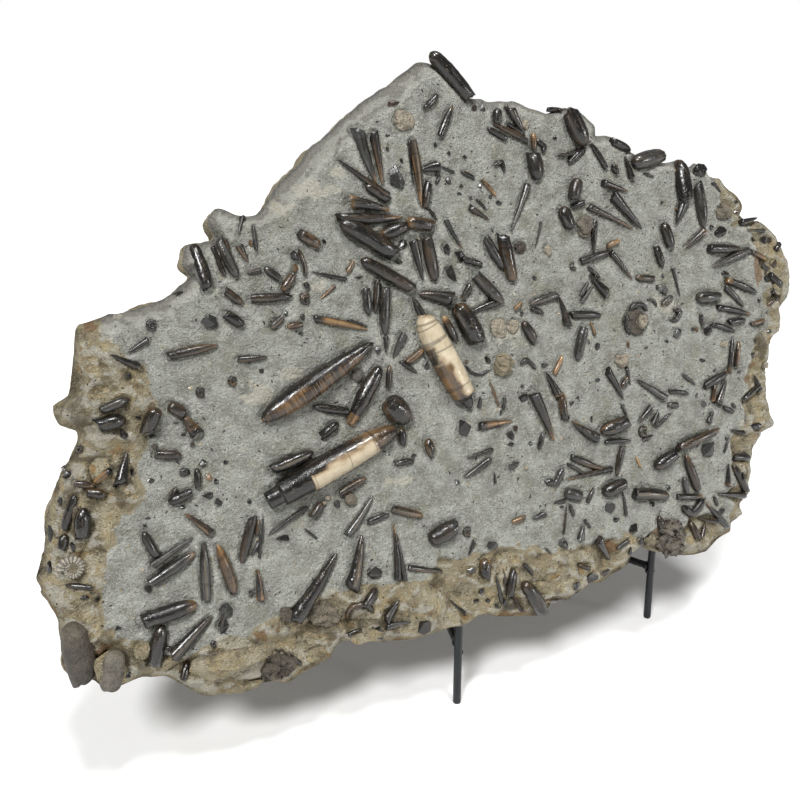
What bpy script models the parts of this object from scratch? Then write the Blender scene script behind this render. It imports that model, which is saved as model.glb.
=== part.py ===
"""A slab of marl crowded with belemnite rostra, leaning on a stand of black round bar.

Blender 4.5, metres, +Z up. The object faces -Y, with +X to its right. The slab is drawn in a frame of its
own, in millimetres: x to the right from the slab's left end, y up along the dressed face, z out of the face.
That frame is then leaned back and set on the stand. The floor is at z = 0 and the middle of the object's box
is at x = y = 0.
"""
import math

import bmesh
import bpy
from mathutils import Matrix, Vector

MM = 0.001

# Driving dimensions of the slab, in millimetres.
SLAB_THICKNESS = 72.0
BACK_CHAMFER = 12.0
BULGE_DEPTH = 50.0
LEAN_DEGREES = 14.0
FACE_FOOT = Vector((0.0, -14.0, 75.0))
FACE_FOOT_X = 370.0

# The slab's foot swells backwards over the left arm of the stand, which carries it.
HEEL_SWELL = 10.2
HEEL_X = 370.0
HEEL_REACH = 110.0

# The rim was read square on from a point this far in front of the face, over this place on it. What lies
# lower than the face stands wider than it was read, by its depth over that distance.
EYE_OVER = Vector((59.0, 313.0))
EYE_DISTANCE = 702.0

# Fit between pieces that touch, and the count of flats on the round pieces.
GAP = 0.3
ROSTRUM_SIDES = 8
BAR_SIDES = 12

# The stand, in millimetres from the left front leg's foot.
BAR_RADIUS = 4.0
POST_RADIUS = 5.0
LEFT_FOOT = Vector((0.0, 0.0, 0.0))
LEFT_LEG_TOP = Vector((0.0, 0.0, 94.0))
RIGHT_FOOT = Vector((266.8, 51.7, 0.0))
RIGHT_LEG_TOP = Vector((263.8, 51.7, 93.0))
ARM_HEIGHT = 66.0
LEFT_POST_X = 16.0
RIGHT_POST_X = 245.0
POST_FOOT_Y = 86.0
POST_FOOT_HEIGHT = 55.0
POST_TOP_RUN = 335.0
UPPER_CROSSBAR_SHARE = 0.90
LOWER_CROSSBAR_SHARE = 0.16
STRUT_SHARE = 0.76
REAR_FOOT_Y = 250.0
LEFT_REAR_FOOT_X = -55.0
RIGHT_REAR_FOOT_X = 300.0

# The broken rim, clockwise from the crest: x, y, depth of the outermost edge below the face, and the width
# of the slope between that edge and the face.
RIM = [
    (379, 531, 14, 10), (390, 527, 10, 8), (404, 514, 10, 8), (418, 503, 10, 8), (436, 498, 8, 8),
    (450, 500, 8, 8), (466, 498, 8, 8), (480, 493, 8, 8), (499, 489, 8, 8), (512, 492, 8, 8),
    (530, 492, 8, 8), (540, 485, 8, 8), (551, 476, 8, 8), (551, 466, 8, 8), (563, 466, 8, 8),
    (580, 460, 10, 8), (592, 452, 10, 8), (600, 447, 10, 8), (612, 446, 10, 8), (626, 441, 10, 8),
    (640, 441, 10, 8), (651, 442, 10, 8), (658, 434, 10, 8), (668, 439, 10, 8), (680, 436, 10, 8),
    (686, 426, 12, 9), (700, 422, 12, 10), (708, 415, 14, 11), (722, 405, 14, 12), (727, 392, 14, 12),
    (722, 384, 12, 11), (732, 378, 12, 11), (750, 377, 14, 12), (762, 369, 16, 12), (772, 361, 16, 12),
    (778, 351, 16, 12), (781, 335, 18, 12), (783, 318, 18, 12), (780, 303, 18, 12), (776, 289, 18, 12),
    (767, 281, 18, 12), (766, 262, 18, 12), (750, 249, 18, 12), (748, 235, 18, 12), (749, 222, 18, 12),
    (745, 196, 18, 12), (748, 180, 18, 12), (751, 165, 18, 12), (748, 154, 18, 12), (730, 149, 18, 12),
    (722, 140, 18, 12), (724, 130, 14, 12), (717, 116, 16, 12), (714, 102, 16, 12), (716, 89, 14, 12),
    (704, 80, 16, 12), (704, 68, 16, 12), (692, 60, 16, 12), (690, 51, 14, 12), (672, 47, 16, 12),
    (656, 36, 16, 12), (640, 35, 16, 12), (624, 39, 16, 12), (606, 43, 16, 12), (594, 49, 14, 10),
    (586, 55, 12, 10), (574, 57, 12, 10), (563, 51, 10, 10), (557, 41, 8, 9), (540, 36, 10, 9),
    (525, 30, 12, 9), (510, 30, 12, 9), (497, 26, 12, 9), (484, 20, 12, 9), (466, 22, 10, 9),
    (455, 11, 10, 9), (438, 13, 10, 9), (420, 17, 10, 9), (404, 21, 10, 9), (388, 24, 6, 6),
    (370, 18, 3, 4), (347, 19, 6, 6), (322, 17, 12, 9), (300, 20, 12, 9), (283, 22, 12, 9),
    (266, 28, 12, 9), (251, 31, 12, 9), (240, 20, 12, 9), (222, 13, 12, 9), (208, 9, 12, 9),
    (198, 6, 12, 9), (180, 10, 14, 10), (155, 7, 14, 10), (134, 10, 14, 10), (117, 20, 14, 10),
    (100, 36, 14, 10), (82, 41, 16, 12), (66, 37, 18, 12), (52, 36, 18, 12), (45, 46, 18, 12),
    (30, 51, 20, 12), (24, 65, 20, 13), (24, 104, 22, 14), (15, 125, 24, 14), (14, 138, 24, 14),
    (22, 160, 24, 14), (28, 188, 24, 14), (40, 215, 24, 13), (52, 229, 22, 12), (57, 246, 20, 11),
    (46, 253, 20, 11), (42, 265, 20, 11), (52, 272, 20, 12), (59, 290, 20, 12), (62, 315, 20, 12),
    (68, 328, 18, 12), (95, 334, 16, 11), (130, 342, 16, 10), (152, 353, 14, 8), (158, 360, 12, 7),
    (151, 369, 12, 7), (155, 384, 12, 7), (177, 386, 12, 7), (180, 391, 12, 7), (175, 404, 12, 7),
    (183, 412, 12, 7), (199, 406, 12, 7), (216, 406, 14, 8), (228, 420, 22, 13), (250, 442, 24, 15),
    (270, 462, 24, 15), (300, 484, 24, 15), (320, 499, 24, 15), (350, 517, 22, 14), (368, 528, 18, 12),
]

# The largest rostra: name, tip x and y, butt x and y, greatest width, height of the axis over the face.
ROSTRA = [
    ("pale_rostrum_left", 320, 213, 198, 167, 25, 3.0),
    ("pale_rostrum_right", 347, 328, 395, 222, 25, 3.0),
    ("banded_brown_rostrum", 306, 291, 201, 236, 21, 3.0),
    ("crest_rostrum", 382, 538, 420, 501, 16, 3.0),
    ("black_bullet_rostrum", 389, 318, 408, 281, 20, 3.0),
    ("long_dark_rostrum", 286, 397, 334, 366, 16, 2.5),
    ("crossing_rostrum", 302, 364, 348, 335, 13, 2.0),
    ("lower_spear_rostrum", 254, 111, 210, 60, 16, 2.5),
    ("opened_rostrum", 279, 123, 265, 76, 14, 2.0),
    ("amber_tipped_rostrum", 310, 128, 309, 75, 7, 1.0),
    ("blunt_grey_rostrum", 342, 106, 371, 114, 17, 2.0),
    ("left_grey_rostrum", 135, 135, 97, 116, 9, 1.5),
    ("left_red_tipped_rostrum", 131, 92, 87, 86, 14, 2.0),
    ("left_ribbed_rostrum", 142, 79, 108, 52, 12, 2.0),
    ("left_upright_rostrum", 142, 143, 139, 93, 9, 1.5),
    ("amber_rostrum", 171, 118, 185, 156, 9, 1.5),
    ("left_brown_rostrum", 130, 168, 149, 148, 8, 1.5),
    ("rim_bullet_rostrum", 118, 257, 109, 240, 13, 2.0),
    ("wedge_rostrum", 138, 248, 147, 232, 12, 2.0),
    ("flat_topped_rostrum", 243, 203, 205, 193, 11, 1.5),
    ("amber_butt_rostrum", 311, 270, 277, 222, 15, 2.0),
    ("round_dark_rostrum", 333, 217, 314, 240, 23, 2.5),
    ("split_rostrum", 293, 156, 266, 125, 8, 1.5),
    ("brown_curved_rostrum", 339, 130, 309, 142, 8, 1.5),
    ("glossy_brown_rostrum", 239, 337, 203, 338, 8, 1.5),
    ("slender_amber_rostrum", 303, 303, 255, 317, 7, 1.0),
    ("blue_grey_rostrum", 318, 297, 323, 338, 10, 1.5),
    ("round_nosed_rostrum", 450, 334, 443, 378, 13, 2.0),
    ("centre_right_rostrum", 481, 180, 463, 227, 12, 2.0),
    ("lined_rostrum", 611, 104, 569, 113, 13, 2.0),
    ("right_amber_rostrum", 682, 165, 628, 152, 10, 2.0),
    ("right_wedge_rostrum", 596, 136, 623, 147, 13, 2.0),
    ("leaf_shaped_rostrum", 534, 181, 565, 187, 15, 2.4),
    ("steep_black_rostrum", 503, 195, 530, 175, 11, 2.0),
    ("barrel_rostrum", 532, 120, 556, 125, 14, 2.0),
    ("top_brown_rostrum", 538, 457, 524, 487, 18, 2.5),
    ("right_slanted_rostrum", 598, 376, 567, 410, 11, 2.0),
    ("grey_upright_rostrum", 513, 254, 524, 285, 10, 1.5),
    ("far_right_rostrum", 722, 350, 680, 352, 10, 1.5),
    ("pink_edged_rostrum", 741, 302, 702, 318, 8, 1.5),
    ("forked_tip_rostrum", 452, 381, 474, 424, 7, 1.0),
    ("tall_thin_rostrum", 364, 406, 361, 465, 8, 1.0),
]

# Width of a rostrum along its length, from the butt at 0 to the tip at 1, as parts of its greatest width.
ROSTRUM_PROFILE = [(0.0, 0.80), (0.15, 0.93), (0.38, 1.0), (0.62, 0.90), (0.82, 0.62), (0.94, 0.30)]

MATRIX_COLOUR = (0.37, 0.37, 0.33, 1.0)
ROSTRUM_COLOUR = (0.035, 0.026, 0.020, 1.0)
PALE_ROSTRUM_COLOUR = (0.52, 0.38, 0.22, 1.0)
STAND_COLOUR = (0.012, 0.014, 0.018, 1.0)


def clear_scene():
    """Remove whatever the opened file holds."""
    for scene_object in list(bpy.data.objects):
        bpy.data.objects.remove(scene_object, do_unlink=True)


def make_material(name, colour, roughness, metallic=0.0):
    """Make a Principled material of one finish."""
    material = bpy.data.materials.new(name)
    material.use_nodes = True
    shader = material.node_tree.nodes["Principled BSDF"]
    shader.inputs["Base Color"].default_value = colour
    shader.inputs["Roughness"].default_value = roughness
    shader.inputs["Metallic"].default_value = metallic
    return material


def add_object(name, mesh_data, parent, material=None):
    """Link a mesh under its parent, with its material."""
    scene_object = bpy.data.objects.new(name, mesh_data)
    bpy.context.scene.collection.objects.link(scene_object)
    scene_object.parent = parent
    if material is not None:
        mesh_data.materials.append(material)
    return scene_object


def add_empty(name, parent=None, location=(0.0, 0.0, 0.0), rotation=(0.0, 0.0, 0.0)):
    """Add an empty that pieces are placed by."""
    empty = bpy.data.objects.new(name, None)
    bpy.context.scene.collection.objects.link(empty)
    empty.parent = parent
    empty.location = location
    empty.rotation_euler = rotation
    return empty


def finish_mesh(name, shape, smooth_below_degrees=40.0):
    """Turn a bmesh into mesh data with its faces pointing out."""
    bmesh.ops.recalc_face_normals(shape, faces=shape.faces)
    mesh_data = bpy.data.meshes.new(name)
    shape.to_mesh(mesh_data)
    shape.free()
    mesh_data.shade_smooth()
    mesh_data.set_sharp_from_angle(angle=math.radians(smooth_below_degrees))
    return mesh_data


def bridge(shape, ring_a, ring_b):
    """Join two rings of as many vertices with triangles."""
    count = len(ring_a)
    for i in range(count):
        j = (i + 1) % count
        shape.faces.new((ring_a[i], ring_a[j], ring_b[i]))
        shape.faces.new((ring_a[j], ring_b[j], ring_b[i]))


def spread(x, y, depth):
    """Move a point that was read on the face out to where it lies at this depth."""
    read = Vector((x, y))
    return EYE_OVER + (read - EYE_OVER) * (1.0 + depth / EYE_DISTANCE)


def outward_normals(outline):
    """Give each point of a clockwise outline its outward direction, evened out over its neighbours."""
    count = len(outline)
    normals = []
    for i in range(count):
        along = outline[(i + 2) % count] - outline[(i - 2) % count]
        normals.append(Vector((-along.y, along.x)).normalized())
    return normals


def heel_swell(point, normal):
    """Give the extra outward reach of the slab's foot above the left arm."""
    from_heel = (point.x - HEEL_X) / HEEL_REACH
    return HEEL_SWELL * max(0.0, -normal.y) * math.exp(-from_heel * from_heel)


def build_slab(parent, material):
    """Build the slab from four rings: the face, the broken rim, the bulge behind it and the back."""
    rim = [spread(x, y, depth) for x, y, depth, _ in RIM]
    normals = outward_normals(rim)
    shape = bmesh.new()
    face_ring, rim_ring, bulge_ring, back_ring = [], [], [], []
    for (_, _, depth, slope), point, normal in zip(RIM, rim, normals):
        swell = heel_swell(point, normal)
        on_face = point - normal * slope
        on_bulge = point + normal * swell
        on_back = point - normal * (BACK_CHAMFER - swell)
        face_ring.append(shape.verts.new((on_face.x * MM, on_face.y * MM, 0.0)))
        rim_ring.append(shape.verts.new((point.x * MM, point.y * MM, -depth * MM)))
        bulge_ring.append(shape.verts.new((on_bulge.x * MM, on_bulge.y * MM, -BULGE_DEPTH * MM)))
        back_ring.append(shape.verts.new((on_back.x * MM, on_back.y * MM, -SLAB_THICKNESS * MM)))
    bridge(shape, face_ring, rim_ring)
    bridge(shape, rim_ring, bulge_ring)
    bridge(shape, bulge_ring, back_ring)
    caps = [shape.faces.new(face_ring), shape.faces.new(list(reversed(back_ring)))]
    bmesh.ops.triangulate(shape, faces=caps)
    return add_object("matrix_slab", finish_mesh("matrix_slab", shape), parent, material)


def rostrum_shape(shape, tip, butt, width, height, grow):
    """Add one rostrum to a bmesh: a turned bullet, lying on the slab, grown all round by an allowance."""
    tip_point = Vector((tip[0], tip[1], height))
    butt_point = Vector((butt[0], butt[1], height))
    axis = (tip_point - butt_point).normalized()
    side = Vector((0.0, 0.0, 1.0)).cross(axis)
    up = axis.cross(side)
    length = (tip_point - butt_point).length
    flat_allowance = grow / math.cos(math.pi / ROSTRUM_SIDES)
    rings = []
    for step, (along, thickness) in enumerate(ROSTRUM_PROFILE):
        centre = butt_point + axis * (along * length - (grow if step == 0 else 0.0))
        radius = thickness * width / 2.0 + flat_allowance
        ring = []
        for i in range(ROSTRUM_SIDES):
            angle = 2.0 * math.pi * (i + 0.5) / ROSTRUM_SIDES
            offset = side * (math.cos(angle) * radius) + up * (math.sin(angle) * radius)
            ring.append(shape.verts.new((centre + offset) * MM))
        rings.append(ring)
    apex = shape.verts.new((tip_point + axis * grow * 2.0) * MM)
    for ring_a, ring_b in zip(rings, rings[1:]):
        bridge(shape, ring_a, ring_b)
    for i in range(ROSTRUM_SIDES):
        shape.faces.new((rings[-1][i], rings[-1][(i + 1) % ROSTRUM_SIDES], apex))
    shape.faces.new(list(reversed(rings[0])))


def build_rostra(parent, dark, pale):
    """Build the large rostra, and one cutter that holds the hollows they lie in."""
    cutter_shape = bmesh.new()
    for name, tip_x, tip_y, butt_x, butt_y, width, height in ROSTRA:
        shape = bmesh.new()
        rostrum_shape(shape, (tip_x, tip_y), (butt_x, butt_y), width, height, 0.0)
        material = pale if name.startswith("pale") else dark
        add_object(name, finish_mesh(name, shape, 50.0), parent, material)
        rostrum_shape(cutter_shape, (tip_x, tip_y), (butt_x, butt_y), width, height, GAP)
    cutter = add_object("rostrum_hollows", finish_mesh("rostrum_hollows", cutter_shape), parent)
    cutter.hide_render = True
    cutter.display_type = "WIRE"
    return cutter


def cut_away(slab, cutter):
    """Cut one cutter's shape out of the slab."""
    boolean = slab.modifiers.new(cutter.name, "BOOLEAN")
    boolean.operation = "DIFFERENCE"
    boolean.object = cutter
    boolean.solver = "EXACT"


def add_bar(name, start, end, radius, parent, material):
    """Add a round bar between two points, in millimetres."""
    along = end - start
    shape = bmesh.new()
    bmesh.ops.create_cone(shape, cap_ends=True, segments=BAR_SIDES, radius1=radius * MM,
                          radius2=radius * MM, depth=along.length * MM)
    bar = add_object(name, finish_mesh(name, shape), parent, material)
    bar.location = (start + end) * 0.5 * MM
    bar.rotation_euler = along.to_track_quat("Z", "Y").to_euler()
    return bar


def add_standing_bar(name, foot, head, parent, material):
    """Add a bar that stands on the floor: cut off square at its head and level with the floor at its foot."""
    along = (foot - head).normalized()
    side = along.cross(Vector((0.0, 1.0, 0.0))).normalized()
    over = side.cross(along)
    shape = bmesh.new()
    head_ring, foot_ring = [], []
    for i in range(BAR_SIDES):
        angle = 2.0 * math.pi * i / BAR_SIDES
        offset = side * (math.cos(angle) * BAR_RADIUS) + over * (math.sin(angle) * BAR_RADIUS)
        to_floor = (foot + offset).z / -along.z
        head_ring.append(shape.verts.new((head + offset) * MM))
        foot_ring.append(shape.verts.new((foot + offset + along * to_floor) * MM))
    bridge(shape, head_ring, foot_ring)
    shape.faces.new(list(reversed(head_ring)))
    shape.faces.new(foot_ring)
    return add_object(name, finish_mesh(name, shape), parent, material)


def leg_notch(parent):
    """Make the cutter for the notch in the slab's foot that the left front leg stands up into."""
    allowance = GAP / math.cos(math.pi / BAR_SIDES)
    up = Vector((0.0, 0.0, GAP))
    notch = add_bar("left_leg_notch", LEFT_FOOT, LEFT_LEG_TOP + up, BAR_RADIUS + allowance, parent, None)
    notch.hide_render = True
    notch.display_type = "WIRE"
    return notch


def behind_slab(x, run):
    """Give the point where a post's axis passes behind the slab's back, this far up along the slab."""
    lean = math.radians(LEAN_DEGREES)
    up_face = Vector((0.0, math.sin(lean), math.cos(lean)))
    back = Vector((0.0, math.cos(lean), -math.sin(lean)))
    return FACE_FOOT + Vector((x, 0.0, 0.0)) + up_face * run + back * (SLAB_THICKNESS + POST_RADIUS + GAP)


def at_height(line, height):
    """Give the point of a line that lies at this height."""
    low, high = line
    return low.lerp(high, (height - low.z) / (high.z - low.z))


def square_end_trim(along, neighbour, neighbour_radius):
    """Give how far short of a neighbour's axis a bar cut off square must stop, to stay clear of it."""
    angle = min(along.angle(neighbour), math.pi - along.angle(neighbour))
    return (neighbour_radius + GAP + BAR_RADIUS * math.cos(angle)) / math.sin(angle)


def between(start, start_neighbour, start_radius, end, end_neighbour, end_radius):
    """Draw both ends of a bar's line in, so that it stops against the bars that it joins."""
    along = (end - start).normalized()
    near = square_end_trim(along, start_neighbour[1] - start_neighbour[0], start_radius)
    far = square_end_trim(along, end_neighbour[1] - end_neighbour[0], end_radius)
    return start + along * near, end - along * far


def build_stand(parent, material):
    """Build the stand's bars: front legs, arms, back posts, crossbars and rear struts."""
    legs = {"left": (LEFT_FOOT, LEFT_LEG_TOP), "right": (RIGHT_FOOT, RIGHT_LEG_TOP)}
    post_x = {"left": LEFT_POST_X, "right": RIGHT_POST_X}
    rear_foot_x = {"left": LEFT_REAR_FOOT_X, "right": RIGHT_REAR_FOOT_X}
    posts = {}
    for side, leg in legs.items():
        add_standing_bar(f"stand_{side}_front_leg", *leg, parent, material)
        post = (Vector((post_x[side], POST_FOOT_Y, POST_FOOT_HEIGHT)), behind_slab(post_x[side], POST_TOP_RUN))
        add_bar(f"stand_{side}_back_post", *post, POST_RADIUS, parent, material)
        posts[side] = post
        arm = between(at_height(leg, ARM_HEIGHT), leg, BAR_RADIUS,
                      at_height(post, ARM_HEIGHT), post, POST_RADIUS)
        add_bar(f"stand_{side}_arm", *arm, BAR_RADIUS, parent, material)
        rear_foot = Vector((rear_foot_x[side], REAR_FOOT_Y, 0.0))
        head = post[0].lerp(post[1], STRUT_SHARE)
        along = (rear_foot - head).normalized()
        head += along * square_end_trim(along, post[1] - post[0], POST_RADIUS)
        add_standing_bar(f"stand_{side}_rear_strut", rear_foot, head, parent, material)
    for name, share in (("lower", LOWER_CROSSBAR_SHARE), ("upper", UPPER_CROSSBAR_SHARE)):
        left = posts["left"][0].lerp(posts["left"][1], share)
        right = posts["right"][0].lerp(posts["right"][1], share)
        crossbar = between(left, posts["left"], POST_RADIUS, right, posts["right"], POST_RADIUS)
        add_bar(f"stand_{name}_crossbar", *crossbar, BAR_RADIUS, parent, material)


def box_of(parts):
    """Give the lowest and highest corners of these objects, as built."""
    bpy.context.view_layer.update()
    graph = bpy.context.evaluated_depsgraph_get()
    corners = []
    for part in parts:
        evaluated = part.evaluated_get(graph)
        for vertex in evaluated.data.vertices:
            corners.append(evaluated.matrix_world @ vertex.co)
    low = Vector([min(corner[axis] for corner in corners) for axis in range(3)])
    high = Vector([max(corner[axis] for corner in corners) for axis in range(3)])
    return low, high


def main():
    """Build the object and centre it on its own box."""
    clear_scene()
    matrix_stone = make_material("dressed marl", MATRIX_COLOUR, 0.85)
    dark_calcite = make_material("dark rostrum calcite", ROSTRUM_COLOUR, 0.32)
    pale_calcite = make_material("pale rostrum calcite", PALE_ROSTRUM_COLOUR, 0.30)
    black_paint = make_material("satin black paint", STAND_COLOUR, 0.45, 0.2)
    origin = add_empty("object_origin")
    stand_frame = add_empty("stand_frame", origin)
    tilt = math.radians(90.0 - LEAN_DEGREES)
    slab_place = (FACE_FOOT - Vector((FACE_FOOT_X, 0.0, 0.0))) * MM
    slab_frame = add_empty("slab_frame", origin, slab_place, (tilt, 0.0, 0.0))
    slab = build_slab(slab_frame, matrix_stone)
    cutter = build_rostra(slab_frame, dark_calcite, pale_calcite)
    for shape_to_cut in (cutter, leg_notch(stand_frame)):
        cut_away(slab, shape_to_cut)
    build_stand(stand_frame, black_paint)
    parts = [part for part in bpy.data.objects if part.type == "MESH" and not part.hide_render]
    low, high = box_of(parts)
    origin.location = (-(low.x + high.x) / 2.0, -(low.y + high.y) / 2.0, -low.z)


main()
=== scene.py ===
import logging
import math
from dataclasses import dataclass, field
from enum import Enum
from typing import Any, Optional, Sequence

import bmesh
import bpy
import numpy as np
from bpy.types import Material, Mesh, Node, NodeSocket, NodeTree, Object
from mathutils import Matrix, Vector
from mathutils.geometry import delaunay_2d_cdt
from numpy import ndarray


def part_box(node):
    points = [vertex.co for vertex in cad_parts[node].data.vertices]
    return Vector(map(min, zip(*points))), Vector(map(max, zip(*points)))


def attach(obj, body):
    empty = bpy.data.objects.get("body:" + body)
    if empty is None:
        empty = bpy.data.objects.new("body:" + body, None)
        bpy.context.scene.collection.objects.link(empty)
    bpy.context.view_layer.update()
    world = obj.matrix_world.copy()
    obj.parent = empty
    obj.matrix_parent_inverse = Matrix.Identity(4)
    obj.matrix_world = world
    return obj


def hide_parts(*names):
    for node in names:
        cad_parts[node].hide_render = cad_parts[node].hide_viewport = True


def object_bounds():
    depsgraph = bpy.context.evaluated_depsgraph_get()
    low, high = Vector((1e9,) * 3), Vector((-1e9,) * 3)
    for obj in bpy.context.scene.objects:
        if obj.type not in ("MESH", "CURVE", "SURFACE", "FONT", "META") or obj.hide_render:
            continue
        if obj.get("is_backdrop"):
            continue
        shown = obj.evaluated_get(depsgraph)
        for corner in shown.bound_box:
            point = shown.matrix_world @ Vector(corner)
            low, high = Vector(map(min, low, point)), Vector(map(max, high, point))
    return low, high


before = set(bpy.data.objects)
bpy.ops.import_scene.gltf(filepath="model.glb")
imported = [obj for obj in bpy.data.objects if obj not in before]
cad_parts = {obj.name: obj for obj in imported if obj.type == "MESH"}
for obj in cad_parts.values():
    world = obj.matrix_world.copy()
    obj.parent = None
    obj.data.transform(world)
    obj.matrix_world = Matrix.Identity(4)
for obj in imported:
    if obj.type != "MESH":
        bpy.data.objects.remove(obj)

LOG = logging.getLogger("belemnite_slab")
MM = 0.001
FAR = 1e9

# The slab's own frame: millimetres, x to the right and y up along the dressed face, z out of it.
SLAB_THICKNESS = 72.0
BACK_CHAMFER = 12.0
BULGE_DEPTH = 50.0
LEAN = math.radians(14.0)
UP_FACE = Vector((0.0, math.sin(LEAN), math.cos(LEAN)))
OUT_OF_FACE = Vector((0.0, -math.cos(LEAN), math.sin(LEAN)))
FACE_FOOT = Vector((0.0, -14.0, 75.0))
FACE_FOOT_X = 370.0
HEEL_SWELL = 10.2
HEEL_X = 370.0
HEEL_REACH = 110.0

# How far the broken edge bends through its corners, how deep the rim's clefts and the face's cracks are, and
# how dark the shade painted into a cleft, a crack or the ring round a fossil gets.
EDGE_BEND = 0.45
CLEFT_DEPTH = 2.4
CRACK_DEPTH = 0.9
PAINTED_HOLLOW_SHADE = 0.75

# The roughness of a polish over a finish, and the marks that finishes read on fossils.
POLISH_ROUGHNESS = 0.08
BODY_MARKS = ("tone", "grey", "chalk", "ochre")
SWEEP_MARKS = BODY_MARKS + ("split", "run", "seed", "butt")

# Places on the face were read square on from a point this far in front of it, over this place.
EYE_OVER = np.array([59.0, 313.0])
EYE_DISTANCE = 702.0

# The broken rim, clockwise from the crest: depth of the outermost edge below the face, the width of the slope
# between that edge and the face, and each x and y where they hold.
RIM = (
    (14, 10, (379, 531)), (10, 8, (390, 527), (404, 514), (418, 503)), (8, 8, (436, 498), (450, 500), (466, 498),
    (480, 493), (499, 489), (512, 492), (530, 492), (540, 485), (551, 476), (551, 466), (563, 466)), (10, 8,
    (580, 460), (592, 452), (600, 447), (612, 446), (626, 441), (640, 441), (651, 442), (658, 434), (668, 439),
    (680, 436)), (12, 9, (686, 426)), (12, 10, (700, 422)), (14, 11, (708, 415)), (14, 12, (722, 405), (727, 392)),
    (12, 11, (722, 384), (732, 378)), (14, 12, (750, 377)), (16, 12, (762, 369), (772, 361), (778, 351)), (18, 12,
    (781, 335), (783, 318), (780, 303), (776, 289), (767, 281), (766, 262), (750, 249), (748, 235), (749, 222),
    (745, 196), (748, 180), (751, 165), (748, 154), (730, 149), (722, 140)), (14, 12, (724, 130)), (16, 12,
    (717, 116), (714, 102)), (14, 12, (716, 89)), (16, 12, (704, 80), (704, 68), (692, 60)), (14, 12, (690, 51)), (16,
    12, (672, 47), (656, 36), (640, 35), (624, 39), (606, 43)), (14, 10, (594, 49)), (12, 10, (586, 55), (574, 57)),
    (10, 10, (563, 51)), (8, 9, (557, 41)), (10, 9, (540, 36)), (12, 9, (525, 30), (510, 30), (497, 26), (484, 20)),
    (10, 9, (466, 22), (455, 11), (438, 13), (420, 17), (404, 21)), (6, 6, (388, 24)), (3, 4, (370, 18)), (6, 6,
    (347, 19)), (12, 9, (322, 17), (300, 20), (283, 22), (266, 28), (251, 31), (240, 20), (222, 13), (208, 9),
    (198, 6)), (14, 10, (180, 10), (155, 7), (134, 10), (117, 20), (100, 36)), (16, 12, (82, 41)), (18, 12, (66, 37),
    (52, 36), (45, 46)), (20, 12, (30, 51)), (20, 13, (24, 65)), (22, 14, (24, 104)), (24, 14, (15, 125), (14, 138),
    (22, 160), (28, 188)), (24, 13, (40, 215)), (22, 12, (52, 229)), (20, 11, (57, 246), (46, 253), (42, 265)), (20,
    12, (52, 272), (59, 290), (62, 315)), (18, 12, (68, 328)), (16, 11, (95, 334)), (16, 10, (130, 342)), (14, 8,
    (152, 353)), (12, 7, (158, 360), (151, 369), (155, 384), (177, 386), (180, 391), (175, 404), (183, 412),
    (199, 406)), (14, 8, (216, 406)), (22, 13, (228, 420)), (24, 15, (250, 442), (270, 462), (300, 484), (320, 499)),
    (22, 14, (350, 517)), (18, 12, (368, 528)),
)

# Where the grey dressed face ends and the ochre weathered rim starts; over the top the face runs to the edge.
GREY_FACE = (
    (90, 330), (88, 315), (105, 303), (112, 290), (115, 262), (110, 240), (108, 225), (100, 205), (98, 190),
    (90, 175), (75, 165), (70, 150), (68, 135), (62, 120), (60, 100), (58, 85), (72, 78), (90, 68), (100, 45),
    (130, 50), (150, 56), (175, 58), (200, 62), (225, 78), (258, 78), (290, 75), (318, 72), (345, 75), (352, 85),
    (370, 82), (400, 82), (440, 82), (470, 72), (520, 70), (560, 72), (600, 60), (625, 55), (640, 75), (670, 70),
    (690, 65), (695, 80), (700, 100), (700, 125), (697, 138), (698, 150), (705, 160), (715, 170), (716, 190),
    (722, 205), (730, 225), (735, 250), (748, 265), (757, 280), (752, 290), (757, 305), (752, 320), (750, 335),
    (745, 350), (735, 358), (742, 370), (718, 372), (714, 380), (712, 392), (702, 400), (698, 410), (700, 440),
    (640, 470), (560, 500), (500, 520), (400, 560), (340, 540), (190, 440), (140, 400), (130, 360), (110, 345),
)

# Hairline cracks across the face, as lines of points.
CRACKS = (
    ((183, 388), (196, 383), (205, 376), (215, 372), (223, 375), (240, 373)), ((170, 350), (184, 350), (194, 354)),
    ((253, 370), (265, 369), (277, 363), (290, 363), (298, 366)), ((61, 304), (85, 300), (109, 292)),
    ((95, 333), (108, 322), (112, 306)), ((288, 452), (297, 468)), ((500, 411), (511, 418), (520, 428)),
    ((497, 375), (512, 372)), ((420, 290), (426, 280), (430, 272)), ((215, 272), (228, 274), (240, 271)),
    ((450, 52), (466, 42), (480, 33)), ((352, 84), (368, 82)), ((715, 190), (718, 178), (718, 165)),
    ((66, 118), (78, 114), (90, 108)), ((100, 105), (116, 100), (130, 95)), ((690, 343), (703, 345), (716, 341)),
    ((285, 115), (300, 82)),
)

# Chalky patches, patches of painted shade near the edges, and rust stains: x, y, half width, half height.
PALE_PATCHES = (
    (199, 259, 12, 10), (150, 40, 26, 16), (165, 20, 18, 12), (232, 272, 14, 5), (440, 293, 14, 12),
    (354, 482, 11, 10), (491, 361, 5, 6), (477, 478, 5, 5), (695, 252, 7, 4), (96, 333, 6, 3), (711, 168, 5, 4),
    (395, 42, 4, 3), (620, 300, 16, 8), (318, 165, 12, 5), (260, 345, 10, 6), (264, 427, 22, 10), (240, 410, 13, 8),
    (286, 438, 9, 5), (90, 300, 14, 12), (70, 240, 9, 9),
)

# Patches of painted shade near the slab's edges, most along its lower and left edges.
SHADY_PATCHES = (
    (48, 50, 34, 22), (58, 74, 12, 9), (150, 30, 20, 8), (235, 44, 26, 8), (70, 204, 16, 20), (300, 40, 22, 8),
    (62, 262, 10, 16), (50, 230, 10, 12), (46, 190, 8, 30), (440, 26, 22, 8), (545, 60, 12, 6), (742, 250, 8, 18),
)

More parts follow.
